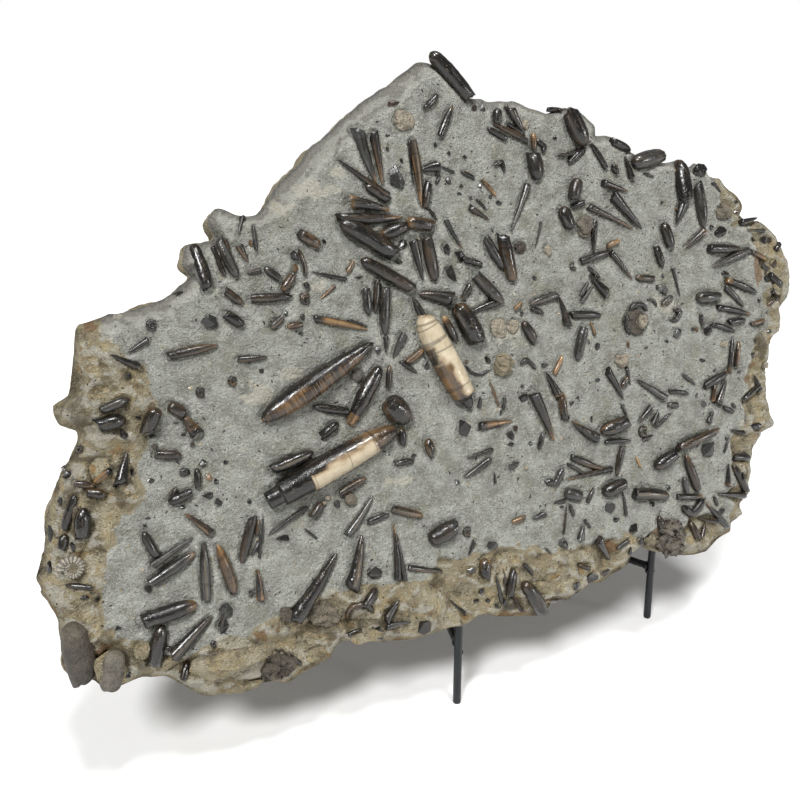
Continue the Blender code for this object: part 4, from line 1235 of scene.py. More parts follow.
        # Painted shade where the face lies below the points round it.
        stains["painted_hollow_shade_and_stain"] = np.maximum(stains["painted_hollow_shade_and_stain"], 0.6 * soft_step(hollow, 0.25, 1.2))
        # Painted highlight where the face stands above the points round it.
        stains["painted_ridge_highlight"] = soft_step(-hollow, 0.08, 0.7)
        i, j = np.nonzero(kept)
        faces = [np.stack([number[i, j], number[i + 1, j], number[i + 1, j + 1], number[i, j + 1]], 1)]
        points, total = [np.stack([x, y, z], 1)], len(x)
        for t in np.arange(1, self.side_rows + 1) / self.side_rows:
            points.append(self._side_ring(on_edge, run, on_edge[:, 2] * (1 - t) + SLAB_THICKNESS * t))
            ids = np.arange(total, total + len(run))
            faces.append(np.stack([np.roll(ring_ids, -1), ring_ids, ids, np.roll(ids, -1)], 1))
            total, ring_ids = total + len(run), ids
        back_points, back_faces = self._back(points[-1], ring_ids.tolist(), total)
        shares = {name: self.behind.get(name, (0.0, 0.0)) for name in stains}
        marks = {name: np.concatenate([stain, np.full(total - len(x), shares[name][0]),
                                       np.full(len(back_points), shares[name][1])]) for name, stain in stains.items()}
        data = new_mesh("slab", np.vstack(points + [back_points]), [], np.vstack(faces).tolist() + back_faces, marks)
        keep(finish_shape("marl_slab", data, material, place.slab()), "matrix_stone", "matrix_slab")

    @staticmethod
    def _side_ring(on_edge: ndarray, run: ndarray, depth: ndarray) -> ndarray:
        """Give one row of points round the slab's broken side.

        Args:
            on_edge: The edge's places, depths and outward directions.
            run: Distance along the edge.
            depth: How far below the face this row lies.

        Returns:
            Rows of x, y and z.
        """
        start, out = on_edge[:, 2], on_edge[:, 4:6]
        behind = np.clip((depth - start) / (BULGE_DEPTH - start), 0.0, 1.0)
        chamfer = np.clip((depth - BULGE_DEPTH) / (SLAB_THICKNESS - BULGE_DEPTH), 0.0, 1.0)
        heel = np.exp(-((on_edge[:, 0] - HEEL_X) / HEEL_REACH) ** 2)
        rough = 3.4 * facets(run, depth, 26.0, 71) + 2.0 * facets(run, depth * 1.5, 11.0, 74)
        rough += 0.7 * lumps(run, depth, 4.5, 73) - 1.0
        quiet = np.minimum(1.0, (depth - start) / 6.0) * (1.0 - 0.8 * heel)
        outward = HEEL_SWELL * np.maximum(0.0, -out[:, 1]) * heel * behind - BACK_CHAMFER * chamfer ** 1.5
        return np.column_stack([on_edge[:, :2] + out * (outward + rough * quiet)[:, None], -depth])

    def _back(self, ring: ndarray, ring_ids: list[int], first: int) -> tuple[ndarray, list[list[int]]]:
        """Close the slab's back.

        Args:
            ring: The last row of the side.
            ring_ids: The numbers of its points.
            first: The number of the first new point.

        Returns:
            The new points and the faces.
        """
        outline, count = [tuple(p) for p in ring[:, :2]], len(ring)
        (low_x, low_y), (high_x, high_y) = ring[:, :2].min(0), ring[:, :2].max(0)
        gx, gy = np.meshgrid(np.arange(low_x, high_x, self.back_cell), np.arange(low_y, high_y, self.back_cell))
        gx, gy = gx.ravel(), gy.ravel()
        gx = gx + 2.0 * lumps(gx, gy, 5.0, 81)
        clear = inside(gx, gy, outline) & (distance_to_line(gx, gy, outline[::6] + outline[:1]) > self.back_cell * 0.9)
        places = [Vector(p) for p in outline + list(zip(gx[clear], gy[clear]))]
        edges = [(k, (k + 1) % count) for k in range(count)]
        made, _, triangles, origin, _, _ = delaunay_2d_cdt(places, edges, [], 1, 1e-6)
        number, fresh = {}, []
        for k, sources in enumerate(origin):
            if sources and min(sources) < count:
                number[k] = ring_ids[min(sources)]
            else:
                number[k] = first + len(fresh)
                fresh.append(made[k])
        spots = np.array(fresh, float).reshape(-1, 2)
        centres = np.array([(made[a] + made[b] + made[c]) / 3.0 for a, b, c in triangles])
        within = inside(centres[:, 0], centres[:, 1], outline)
        faces = [[number[a] for a in t] for t, good in zip(triangles, within) if good]
        return np.column_stack([spots, -SLAB_THICKNESS + 3.2 + BACK_BREAKS.over(*spots.T)]), faces


class Habit(Enum):
    """What a fossil is turned into: the first letter of its code. A row without a code is black.

    Each has its shares of tone, grey, chalk and ochre.
    """

    BLACK = ("D", 0.19, 0.0, 0.0, 0.0)
    BROWN = ("B", 0.43, 0.0, 0.0, 0.0)
    AMBER = ("A", 0.72, 0.0, 0.0, 0.0)
    GREY = ("G", 0.20, 0.50, 0.0, 0.0)
    PALE = ("P", 0.55, 0.0, 1.0, 0.0)
    WHITE = ("W", 0.55, 0.3, 0.6, 0.4)
    OCHRE = ("O", 0.30, 0.15, 0.0, 0.85)
    NATURAL = ("N", 0.34, 0.45, 0.0, 0.35)


class Mark(Enum):
    """What else shows on a rostrum: the small letters of its code."""

    AMBER_TIP = "a"
    SPLIT = "s"
    DARK_BUTT = "d"
    DARK_TIP = "t"
    PINK_BUTT = "p"
    BLUNT = "b"
    CONE = "c"


@dataclass(frozen=True)
class Stain:
    """The colour of one fossil, as shares from 0 to 1.

    Attributes:
        tone: From black calcite at 0, through brown, to honey amber at 1.
        grey: How far it is blue-grey instead.
        chalk: How far it is cream.
        ochre: How far it is coated with ochre marl.
        tip_tone: The tone at the tip.
        butt_tone: The tone at the butt.
        split: How far it is split open along its middle.
    """

    tone: float = 0.08
    grey: float = 0.0
    chalk: float = 0.0
    ochre: float = 0.0
    tip_tone: float = 0.12
    butt_tone: float = 0.05
    split: float = 0.0

    def body(self) -> dict[str, float]:
        """Give the marks that are alike all over it."""
        return {key: getattr(self, key) for key in BODY_MARKS}


@dataclass(frozen=True)
class FossilCode:
    """Reads the short code of a fossil.

    Attributes:
        text: A capital for what it is made of, then small letters for what else shows.
    """

    text: str = "D"

    def has(self, mark: Mark) -> bool:
        """Tell whether a mark is set."""
        return mark.value in self.text[1:]

    def habit(self) -> Habit:
        """Tell what it is made of."""
        return next(habit for habit in Habit if habit.value[0] == self.text[0])

    def stain(self) -> Stain:
        """Turn the code into colour shares.

        Returns:
            The fossil's stain.
        """
        shares = self.habit().value[1:]
        ends = {"tip": shares[0] + 0.14, "butt": shares[0] - 0.12}
        for mark, end, tone in ((Mark.AMBER_TIP, "tip", 0.72), (Mark.DARK_TIP, "tip", 0.05),
                                (Mark.DARK_BUTT, "butt", 0.0), (Mark.PINK_BUTT, "butt", 0.8)):
            if self.has(mark):
                ends[end] = tone
        return Stain(*shares, ends["tip"], ends["butt"], float(self.has(Mark.SPLIT)))


@dataclass
class Sweep:
    """A round body along a line: a rostrum, a curved shell, a bar.

    Attributes:
        points: Its middle line, in millimetres.
        radius: Its radius at each point.
        marks: Named numbers at each point, for the finish.
        cut: How its butt slants, across its line.
    """

    points: ndarray
    radius: ndarray
    marks: dict[str, Any] = field(default_factory=dict)
    cut: ndarray = field(default_factory=lambda: np.zeros(3))

    def rows(self) -> dict[str, ndarray]:
        """Spread every mark over its points.

        Returns:
            The marks at each point by name, with its thickness, direction and cut.
        """
        along, count = self.points[-1] - self.points[0], len(self.points)
        axis = along / max(float(np.linalg.norm(along)), 1e-6)
        marks = {key: np.broadcast_to(self.marks.get(key, 0.0), (count,)) for key in SWEEP_MARKS}
        marks |= {"axis": np.tile(axis, (count, 1)), "cut": np.tile(self.cut, (count, 1))}
        return marks | {"thickness": self.radius}


def new_tree(name: str, inputs: dict[str, str], output: str) -> tuple[NodeTree, dict[str, NodeSocket]]:
    """Start a node tree with named inputs.

    Args:
        name: What the tree makes.
        inputs: The kind of each input, by name.
        output: The output's name.

    Returns:
        The tree, and the sockets that give its inputs, by name.
    """
    tree = bpy.data.node_groups.new(name, "GeometryNodeTree")
    for key, kind in inputs.items():
        tree.interface.new_socket(key, in_out="INPUT", socket_type="NodeSocket" + kind)
    tree.interface.new_socket(output, in_out="OUTPUT", socket_type="NodeSocketGeometry")
    given = add_node(tree, "NodeGroupInput")
    return tree, {key: given.outputs[key] for key in inputs}


def end_tree(tree: NodeTree, shape: Node, finish: NodeSocket) -> NodeTree:
    """End a node tree with plain meshes in their finish.

    Args:
        tree: The node tree.
        shape: The node that gives its geometry.
        finish: The socket that gives its material.

    Returns:
        The same tree.
    """
    real = add_node(tree, "GeometryNodeRealizeInstances", {0: shape})
    dressed = add_node(tree, "GeometryNodeSetMaterial", {"Geometry": real, "Material": finish})
    add_node(tree, "NodeGroupOutput", {0: dressed})
    return tree


def run_tree(name: str, data: Mesh, tree: NodeTree, inputs: dict[str, Any], place: Matrix,
             smooth: bool = True) -> Object:
    """Run a node tree over a mesh and keep its result as a plain mesh.

    Args:
        name: The finished piece's name.
        data: What the tree starts from.
        tree: The node tree.
        inputs: The tree's inputs by name; its finish is also the piece's.
        place: From the mesh's unit to metres in the frame.
        smooth: Whether its faces are shaded smooth.

    Returns:
        The finished piece.
    """
    source = bpy.data.objects.new(name + "_source", data)
    bpy.context.scene.collection.objects.link(source)
    modifier = source.modifiers.new("shape", "NODES")
    modifier.node_group = tree
    for item in tree.interface.items_tree:
        if item.in_out == "INPUT" and item.name in inputs:
            modifier[item.identifier] = inputs[item.name]
    graph = bpy.context.evaluated_depsgraph_get()
    made = bpy.data.meshes.new_from_object(source.evaluated_get(graph))
    source.modifiers.remove(modifier)
    bpy.data.objects.remove(source, do_unlink=True)
    return finish_shape(name, made, inputs["Finish"], place, smooth)


@dataclass
class SweepTree:
    """Geometry nodes that turn lines of points into closed round bodies.

    Attributes:
        sides: Flats round each body.
        wear: How far it is dented and broken off at its butt.
        dent_depth: Depth of its dents, as a share of its radius.
        break_depth: How ragged its broken butt is, as a share of its radius.
    """

    sides: int = 10
    wear: float = 0.0
    dent_depth: float = 0.16
    break_depth: float = 2.2

    def tree(self) -> NodeTree:
        """Build the node tree.

        Returns:
            The tree, with inputs for the lines, the flats, the wear and the finish.
        """
        inputs = {"Lines": "Geometry", "Sides": "Int", "Wear": "Float", "Finish": "Material"}
        tree, given = new_tree("round bodies along lines", inputs, "Bodies")
        kinds = {"thickness": "FLOAT", "butt": "FLOAT", "split": "FLOAT", "cut": "FLOAT_VECTOR", "axis": "FLOAT_VECTOR"}
        named = {key: add_node(tree, "GeometryNodeInputNamedAttribute", {"Name": key},
                               data_type=kind).outputs["Attribute"] for key, kind in kinds.items()}
        rails = add_node(tree, "GeometryNodeMeshToCurve", {"Mesh": given["Lines"]})
        upright = add_node(tree, "GeometryNodeSetCurveNormal", {"Curve": rails}, mode="Z_UP")
        ring = add_node(tree, "GeometryNodeCurvePrimitiveCircle", {"Resolution": given["Sides"], "Radius": 1.0},
                        mode="RADIUS")
        round_it = add_node(tree, "GeometryNodeSplineParameter")
        marked = add_node(tree, "GeometryNodeStoreNamedAttribute",
                          {"Geometry": ring, "Name": "around", "Value": round_it.outputs["Factor"]},
                          data_type="FLOAT", domain="POINT")
        body = add_node(tree, "GeometryNodeCurveToMesh",
                        {"Curve": upright, "Profile Curve": marked, "Scale": named["thickness"], "Fill Caps": True})
        normal = add_node(tree, "GeometryNodeInputNormal")
        here = add_node(tree, "GeometryNodeInputPosition")
        worn = []
        for scale, detail, depth in ((0.24, 2.0, self.dent_depth), (0.16, 1.0, self.break_depth)):
            noise = add_node(tree, "ShaderNodeTexNoise", {"Vector": here, "Scale": scale, "Detail": detail})
            amount = add_node(tree, "ShaderNodeMath", {0: noise, 1: 0.5}, operation="SUBTRACT")
            for factor in (named["thickness"], depth, given["Wear"]):
                amount = add_node(tree, "ShaderNodeMath", {0: amount, 1: factor}, operation="MULTIPLY")
            worn.append(amount)
        slant = add_node(tree, "ShaderNodeVectorMath", {0: normal, 1: named["cut"]}, operation="DOT_PRODUCT")
        slanted = add_node(tree, "ShaderNodeMath", {0: slant.outputs["Value"], 1: named["thickness"], 2: worn[1]},
                           operation="MULTIPLY_ADD")
        broken = add_node(tree, "ShaderNodeMath", {0: slanted, 1: named["butt"]}, operation="MULTIPLY")
        shifts = {number: add_node(tree, "ShaderNodeVectorMath", {0: way, "Scale": amount}, operation="SCALE")
                  for number, way, amount in ((0, normal, worn[0]), (1, named["axis"], broken))}
        shift = add_node(tree, "ShaderNodeVectorMath", shifts, operation="ADD")
        body = add_node(tree, "GeometryNodeSetPosition", {"Geometry": body, "Offset": shift})
        left = add_node(tree, "ShaderNodeVectorMath", {0: (0.0, 0.0, 1.0), 1: named["axis"]}, operation="CROSS_PRODUCT")
        flank = add_node(tree, "ShaderNodeVectorMath", {0: normal, 1: left}, operation="DOT_PRODUCT")
        facing = add_node(tree, "ShaderNodeSeparateXYZ", {0: normal})
        top = add_node(tree, "ShaderNodeMapRange", {"Value": facing.outputs["Z"], "From Min": 0.90, "From Max": 0.99})
        seam = add_node(tree, "ShaderNodeMath", {0: top, 1: named["split"]}, operation="MULTIPLY")
        for key, value in (("flank", flank.outputs["Value"]), ("seam", seam)):
            body = add_node(tree, "GeometryNodeStoreNamedAttribute", {"Geometry": body, "Name": key, "Value": value},
                            data_type="FLOAT", domain="POINT")
        return end_tree(tree, body, given["Finish"])

    def build(self, name: str, sweeps: Sequence[Sweep], place: Matrix, material: Material) -> Object:
        """Build one piece from its lines.

        Args:
            name: The piece's name.
            sweeps: Its bodies.
            place: From their millimetres to metres in the frame.
            material: Their finish.

        Returns:
            The finished piece.
        """
        rows = [sweep.rows() for sweep in sweeps]
        marks = {key: np.concatenate([row[key] for row in rows]) for key in rows[0]}
        points = np.vstack([sweep.points for sweep in sweeps])
        ends = set(np.cumsum([len(sweep.points) for sweep in sweeps]) - 1)
        edges = [(k, k + 1) for k in range(len(points)) if k not in ends]
        data = new_mesh(name + "_lines", points, edges, [], marks)
        inputs = {"Sides": self.sides, "Wear": self.wear, "Finish": material}
        return run_tree(name, data, self.tree(), inputs, place)


# Where the rings of points lie along a rostrum, from the butt at 0 to the tip at 1.
BUTT_STATIONS = (0.0, 0.012, 0.07)
SMALL_STATIONS = (0.2, 0.34, 0.48, 0.62, 0.74, 0.85, 0.93)
TIP_STATIONS = (0.975, 1.0)


@dataclass
class RostrumBed:
    """All the rostra and curved shells that lie in the slab.

    Attributes:
        relief: The face that they lie in.
        place: Where the slab stands.
        finish: The finish of their calcite.
        dull: The finish of those that have weathered.
    """

    relief: Relief
    place: SlabFrame
    finish: Material
    dull: Material

    @staticmethod
    def _outline(code: FossilCode, along: ndarray, chance: float) -> ndarray:
        """Give a rostrum's width along its length, as a share of its greatest.

        Args:
            code: What shows on it.
            along: Places from the butt at 0 to the tip at 1.
            chance: From a long spear at 0 to a stout bullet at 1.

        Returns:
            Shares of the greatest width.
        """
        shoulder = 0.20 + 0.42 * chance
        swell = 0.84 + 0.16 * np.sin(np.minimum(along / 0.35, 1.0) * math.pi / 2)
        past = np.maximum((along - shoulder) / (1.0 - shoulder), 0.0)
        taper = np.maximum(1.0 - past ** (1.4 + 1.8 * chance), 0.0) ** (0.8 - 0.42 * chance)
        if code.has(Mark.CONE):
            taper = 1.0 - 0.66 * along ** 1.2 - 0.2 * along ** 8
            swell = 1.0
        if code.has(Mark.BLUNT):
            taper = 1.0 - 0.28 * np.maximum((along - 0.45) / 0.55, 0.0) ** 2
            taper = taper * np.sqrt(np.maximum(1.0 - (np.maximum(along - 0.86, 0.0) / 0.14) ** 2, 0.02))
        share = swell * taper
        return np.where(along < 0.001, 0.3, np.maximum(share, 0.04))

    def rostrum(self, tip: Sequence[float], butt: Sequence[float], width: float, code: FossilCode,
                seed: int, lift: Optional[float] = None, profile: Sequence[Sequence[float]] = ()) -> Sweep:
        """Lay one rostrum in the face, and cut its socket.

        Args:
            tip: x and y of its tip.
            butt: x and y of its butt.
            width: Its greatest width.
            code: What shows on it.
            seed: Which chance shape it has.
            lift: Height of its axis over the face; by its width if not given.
            profile: Its outline, as shares of its length and width; by its code if not given.

        Returns:
            The rostrum.
        """
        chance = np.random.default_rng(1000 + seed)
        fine = lift is not None
        middle = np.linspace(0.0, 1.0, 60 if profile else 30) if fine else SMALL_STATIONS
        along = np.unique(np.concatenate([BUTT_STATIONS, middle, TIP_STATIONS, [row[0] for row in profile]]))
        start, end = (np.array(self.relief.true_place(*spot)) for spot in (butt, tip))
        length = float(np.hypot(*(end - start)[:2]))
        across = np.array([-(end - start)[1], (end - start)[0], 0.0]) / max(length, 1e-6)
        bend = chance.uniform(-0.018, 0.018) * length
        line = start + (end - start) * along[:, None] + across * (bend * np.sin(along * math.pi))[:, None]
        line[:, 2] += 0.10 * width + 0.3 if lift is None else lift
        wobble = 1.0 + 0.028 * lumps(along * length, along * 0 + seed, max(4.0, width * 0.6), 91)
        stout = min(1.0, max(0.0, (8.0 - length / width) / 5.0))
        shares = self._outline(code, along, 0.55 * stout + 0.3 * chance.uniform())
        if not fine and chance.uniform() < 0.35 and not code.has(Mark.BLUNT):
            shares = self._outline(FossilCode(code.text + Mark.CONE.value), along, 0.0)
        if profile:
            shares = np.interp(along, *np.array(profile).T)
        radius = shares * width / 2.0 * wobble
        shown = slice(1, None, 4) if fine else slice(1, None, 2)
        self.relief.sockets.append((line[shown, :2], radius[shown]))
        stain = code.stain()
        tone = np.interp(along, [0.0, 0.22, 0.68, 0.9, 1.0],
                         [stain.butt_tone, stain.tone, stain.tone, stain.tip_tone, stain.tip_tone])
        chalk = stain.chalk * soft_step(along, 0.22, 0.30) * (1.0 - soft_step(along, 0.80, 0.90))
        marks = stain.body() | {
            "tone": tone + chance.uniform(-0.06, 0.06), "chalk": chalk, "split": stain.split,
            "run": along * length, "seed": chance.uniform(0.0, 9.0),
            "butt": (1.0 - soft_step(along * length, 0.5, width * 1.2)) * (not profile)}
        tilt = chance.uniform(-0.7, 0.7, 2)
        cut = across * tilt[0] + np.array([0.0, 0.0, tilt[1]])
        return Sweep(line, radius, marks, cut)

    def curve(self, corners: Sequence[Sequence[float]], width: float, code: FossilCode, seed: int) -> Sweep:
        """Lay one curved shell, seen in section, in the face.

        Args:
            corners: Points along its middle.
            width: Its width.
            code: What shows on it.
            seed: Which chance shape it has.

        Returns:
            The shell.
        """
        chance = np.random.default_rng(2000 + seed)
        spots = np.array([self.relief.true_place(*c) for c in corners])
        steps = np.linspace(0.0, len(spots) - 1.0, 6 * len(spots))
        whole = np.stack([np.interp(steps, np.arange(len(spots)), spots[:, k]) for k in range(3)], 1)
        for _ in range(4):
            whole[1:-1] = (whole[:-2] + 2 * whole[1:-1] + whole[2:]) / 4.0
        self.relief.sockets.append((whole[::4, :2], np.full(len(whole[::4]), width / 2.0)))
        whole[:, 2] += 0.12 * width
        ends = np.minimum(np.linspace(0.0, 1.0, len(whole)), np.linspace(1.0, 0.0, len(whole)))
        radius = width / 2.0 * (0.25 + 0.75 * soft_step(ends, 0.0, 0.16))
        marks = code.stain().body() | {"ochre": 0.0, "run": steps * 8.0, "seed": chance.uniform(0.0, 9.0)}
        return Sweep(whole, radius, marks)

    def ring(self, x: float, y: float, across: float, code: FossilCode, seed: int) -> Sweep:
        """Lay one ring, a small shell or a stalk joint seen end on, in the face.

        Args:
            x: Place across, as read.
            y: Place up, as read.
            across: Its width.
            code: What shows on it.
            seed: Which chance shape it has.

        Returns:
            The ring.
        """
        turn = np.linspace(0.0, 1.9 * math.pi, 12)
        wall = across * 0.20
        reach = across / 2 - wall
        corners = [(x + reach * math.cos(t), y + reach * math.sin(t)) for t in turn]
        return self.curve(corners, wall * 2.0, code, seed)

    @staticmethod
    def _stain(piece: Object, length: float, patches: Sequence[tuple]) -> None:
        """Stain patches of a large guard.

        Args:
            piece: The guard.
            length: Its length.
            patches: Mark, first and last share of the length, right and left limit, and value.
        """
        data = piece.data
        seen = {key: np.zeros(len(data.vertices), np.float32) for key in ("run", "flank", "tone", "chalk", "striae")}
        data.attributes.new("striae", "FLOAT", "POINT")
        for key, values in seen.items():
            data.attributes[key].data.foreach_get("value", values)
        if patches:
            seen["chalk"][:] = 0.0
        shift = lumps(seen["run"], seen["flank"] * 8.0, 9.0, 7)
        along, side = seen["run"] / length + 0.025 * shift, seen["flank"] + 0.2 * shift
        for mark, start, end, right, left, value in patches:
            amount = soft_step(side, right - 0.2, right + 0.2) * (1.0 - soft_step(side, left - 0.2, left + 0.2))
            if start > 0.0:
                amount = amount * soft_step(along, start - 0.02, start + 0.02)
            if end < 1.0:
                amount = amount * (1.0 - soft_step(along, end - 0.02, end + 0.02))
            seen[mark] = seen[mark] * (1.0 - amount) + value * amount
        for key in ("tone", "chalk", "striae"):
            data.attributes[key].data.foreach_set("value", seen[key].astype(np.float32))

    def build(self) -> None:
        """Build every rostrum and shell: the largest one by one, the others together."""
        large = []
        for seed, (node, tip_x, tip_y, butt_x, butt_y, width, lift, text) in enumerate(LARGE_ROSTRA):
            code, (profile, patches) = FossilCode(text), STRIKING.get(node, ((), ()))
            sweep = self.rostrum((tip_x, tip_y), (butt_x, butt_y), width, code, seed, lift, profile)
            large.append((node, code, sweep, patches))
        small = [self.rostrum(row[:2], row[2:4], row[4], FossilCode(*row[5:]), 100 + seed)
                 for seed, row in enumerate(SMALL_ROSTRA)]
        small += [self.curve(corners, width, FossilCode(*code), seed)
                  for seed, (corners, width, *code) in enumerate(CURVED_SHELLS)]
        small += [self.ring(x, y, across, FossilCode(*code), 50 + seed)
                  for seed, (x, y, across, *code) in enumerate(SHELL_RINGS)]
        place = self.place.slab()
        for node, code, sweep, patches in large:
            name, sides = node.replace("rostrum", "guard"), 32 if node in STRIKING else 18
            piece = SweepTree(sides, 0.8).build(name, [sweep], place, self.finish)
            self._stain(piece, float(max(sweep.marks["run"])), patches)
            keep(piece, "pale_rostrum" if code.habit() is Habit.PALE else "dark_rostrum", node)
        keep(SweepTree(10, 1.0).build("small_guards", small, place, self.finish), "dark_rostrum")
        rods = [self.rostrum(row[:2], row[2:4], row[4], FossilCode(*row[5:]), 400 + seed, 3.0)
                for seed, row in enumerate(WEATHERED_RODS)]
        keep(SweepTree(24, 0.3).build("weathered_rods", rods, place, self.dull), "dark_rostrum")


@dataclass
class FragmentTree:
    """Geometry nodes that set a broken or rounded lump on each of many points.

    Attributes:
        rounds: How finely each lump is divided.
        rough: How far its surface is pushed about, as a share of its size.
        grain: Distance between bumps, in millimetres.
        smooth: Whether its faces are shaded smooth.
    """

    rounds: int = 2
    rough: float = 0.35
    grain: float = 4.0
    smooth: bool = False

    def tree(self) -> NodeTree:
        """Build the node tree.

        Returns:
            The tree, with inputs for the points, the roughness and the finish.
        """
        inputs = {"Points": "Geometry", "Rounds": "Int", "Rough": "Float", "Grain": "Float", "Finish": "Material"}
        tree, given = new_tree("lumps on points", inputs, "Lumps")
        kinds = {"size": "FLOAT_VECTOR", "turn": "FLOAT_VECTOR", "bulk": "FLOAT"}
        named = {key: add_node(tree, "GeometryNodeInputNamedAttribute", {"Name": key},
                               data_type=kind).outputs["Attribute"] for key, kind in kinds.items()}
        spots = add_node(tree, "GeometryNodeMeshToPoints", {"Mesh": given["Points"]})
        lump = add_node(tree, "GeometryNodeMeshIcoSphere", {"Radius": 1.0, "Subdivisions": given["Rounds"]})
        spin = add_node(tree, "FunctionNodeEulerToRotation", {0: named["turn"]})
        set_on = add_node(tree, "GeometryNodeInstanceOnPoints",
                          {"Points": spots, "Instance": lump, "Rotation": spin, "Scale": named["size"]})
        real = add_node(tree, "GeometryNodeRealizeInstances", {0: set_on})
        here = add_node(tree, "GeometryNodeInputPosition")
        finer = add_node(tree, "ShaderNodeMath", {0: 1.0, 1: given["Grain"]}, operation="DIVIDE")
        scaled = add_node(tree, "ShaderNodeVectorMath", {0: here, "Scale": finer}, operation="SCALE")
        noise = add_node(tree, "ShaderNodeTexNoise", {"Vector": scaled, "Scale": 1.0, "Detail": 1.0})
        centred = add_node(tree, "ShaderNodeVectorMath", {0: noise.outputs["Color"], 1: (0.5, 0.5, 0.5)},
                           operation="SUBTRACT")
        amount = add_node(tree, "ShaderNodeMath", {0: named["bulk"], 1: given["Rough"]}, operation="MULTIPLY")
        push = add_node(tree, "ShaderNodeVectorMath", {0: centred, "Scale": amount}, operation="SCALE")
        moved = add_node(tree, "GeometryNodeSetPosition", {"Geometry": real, "Offset": push})
        return end_tree(tree, moved, given["Finish"])

    def build(self, name: str, rows: Sequence[tuple], place: Matrix, material: Material) -> Object:
        """Build one piece of many lumps.

        Args:
            name: The piece's name.
            rows: For each lump its centre, half sizes, turn and stain.
            place: From millimetres to metres in the frame.
            material: Their finish.

        Returns:
            The finished piece.
        """
        centres, sizes, turns, stains = zip(*rows)
        bulk = [2.0 * min(size) + 0.25 * max(size) for size in sizes]
        marks = {"size": sizes, "turn": turns, "bulk": bulk}
        marks |= {key: [getattr(stain, key) for stain in stains] for key in BODY_MARKS}
        data = new_mesh(name + "_points", centres, [], [], marks)
        inputs = {"Rounds": self.rounds, "Rough": self.rough, "Grain": self.grain, "Finish": material}
        return run_tree(name, data, self.tree(), inputs, place, self.smooth)


# The turn of a lump that isn't turned.
UPRIGHT = (0.0, 0.0, 0.0)


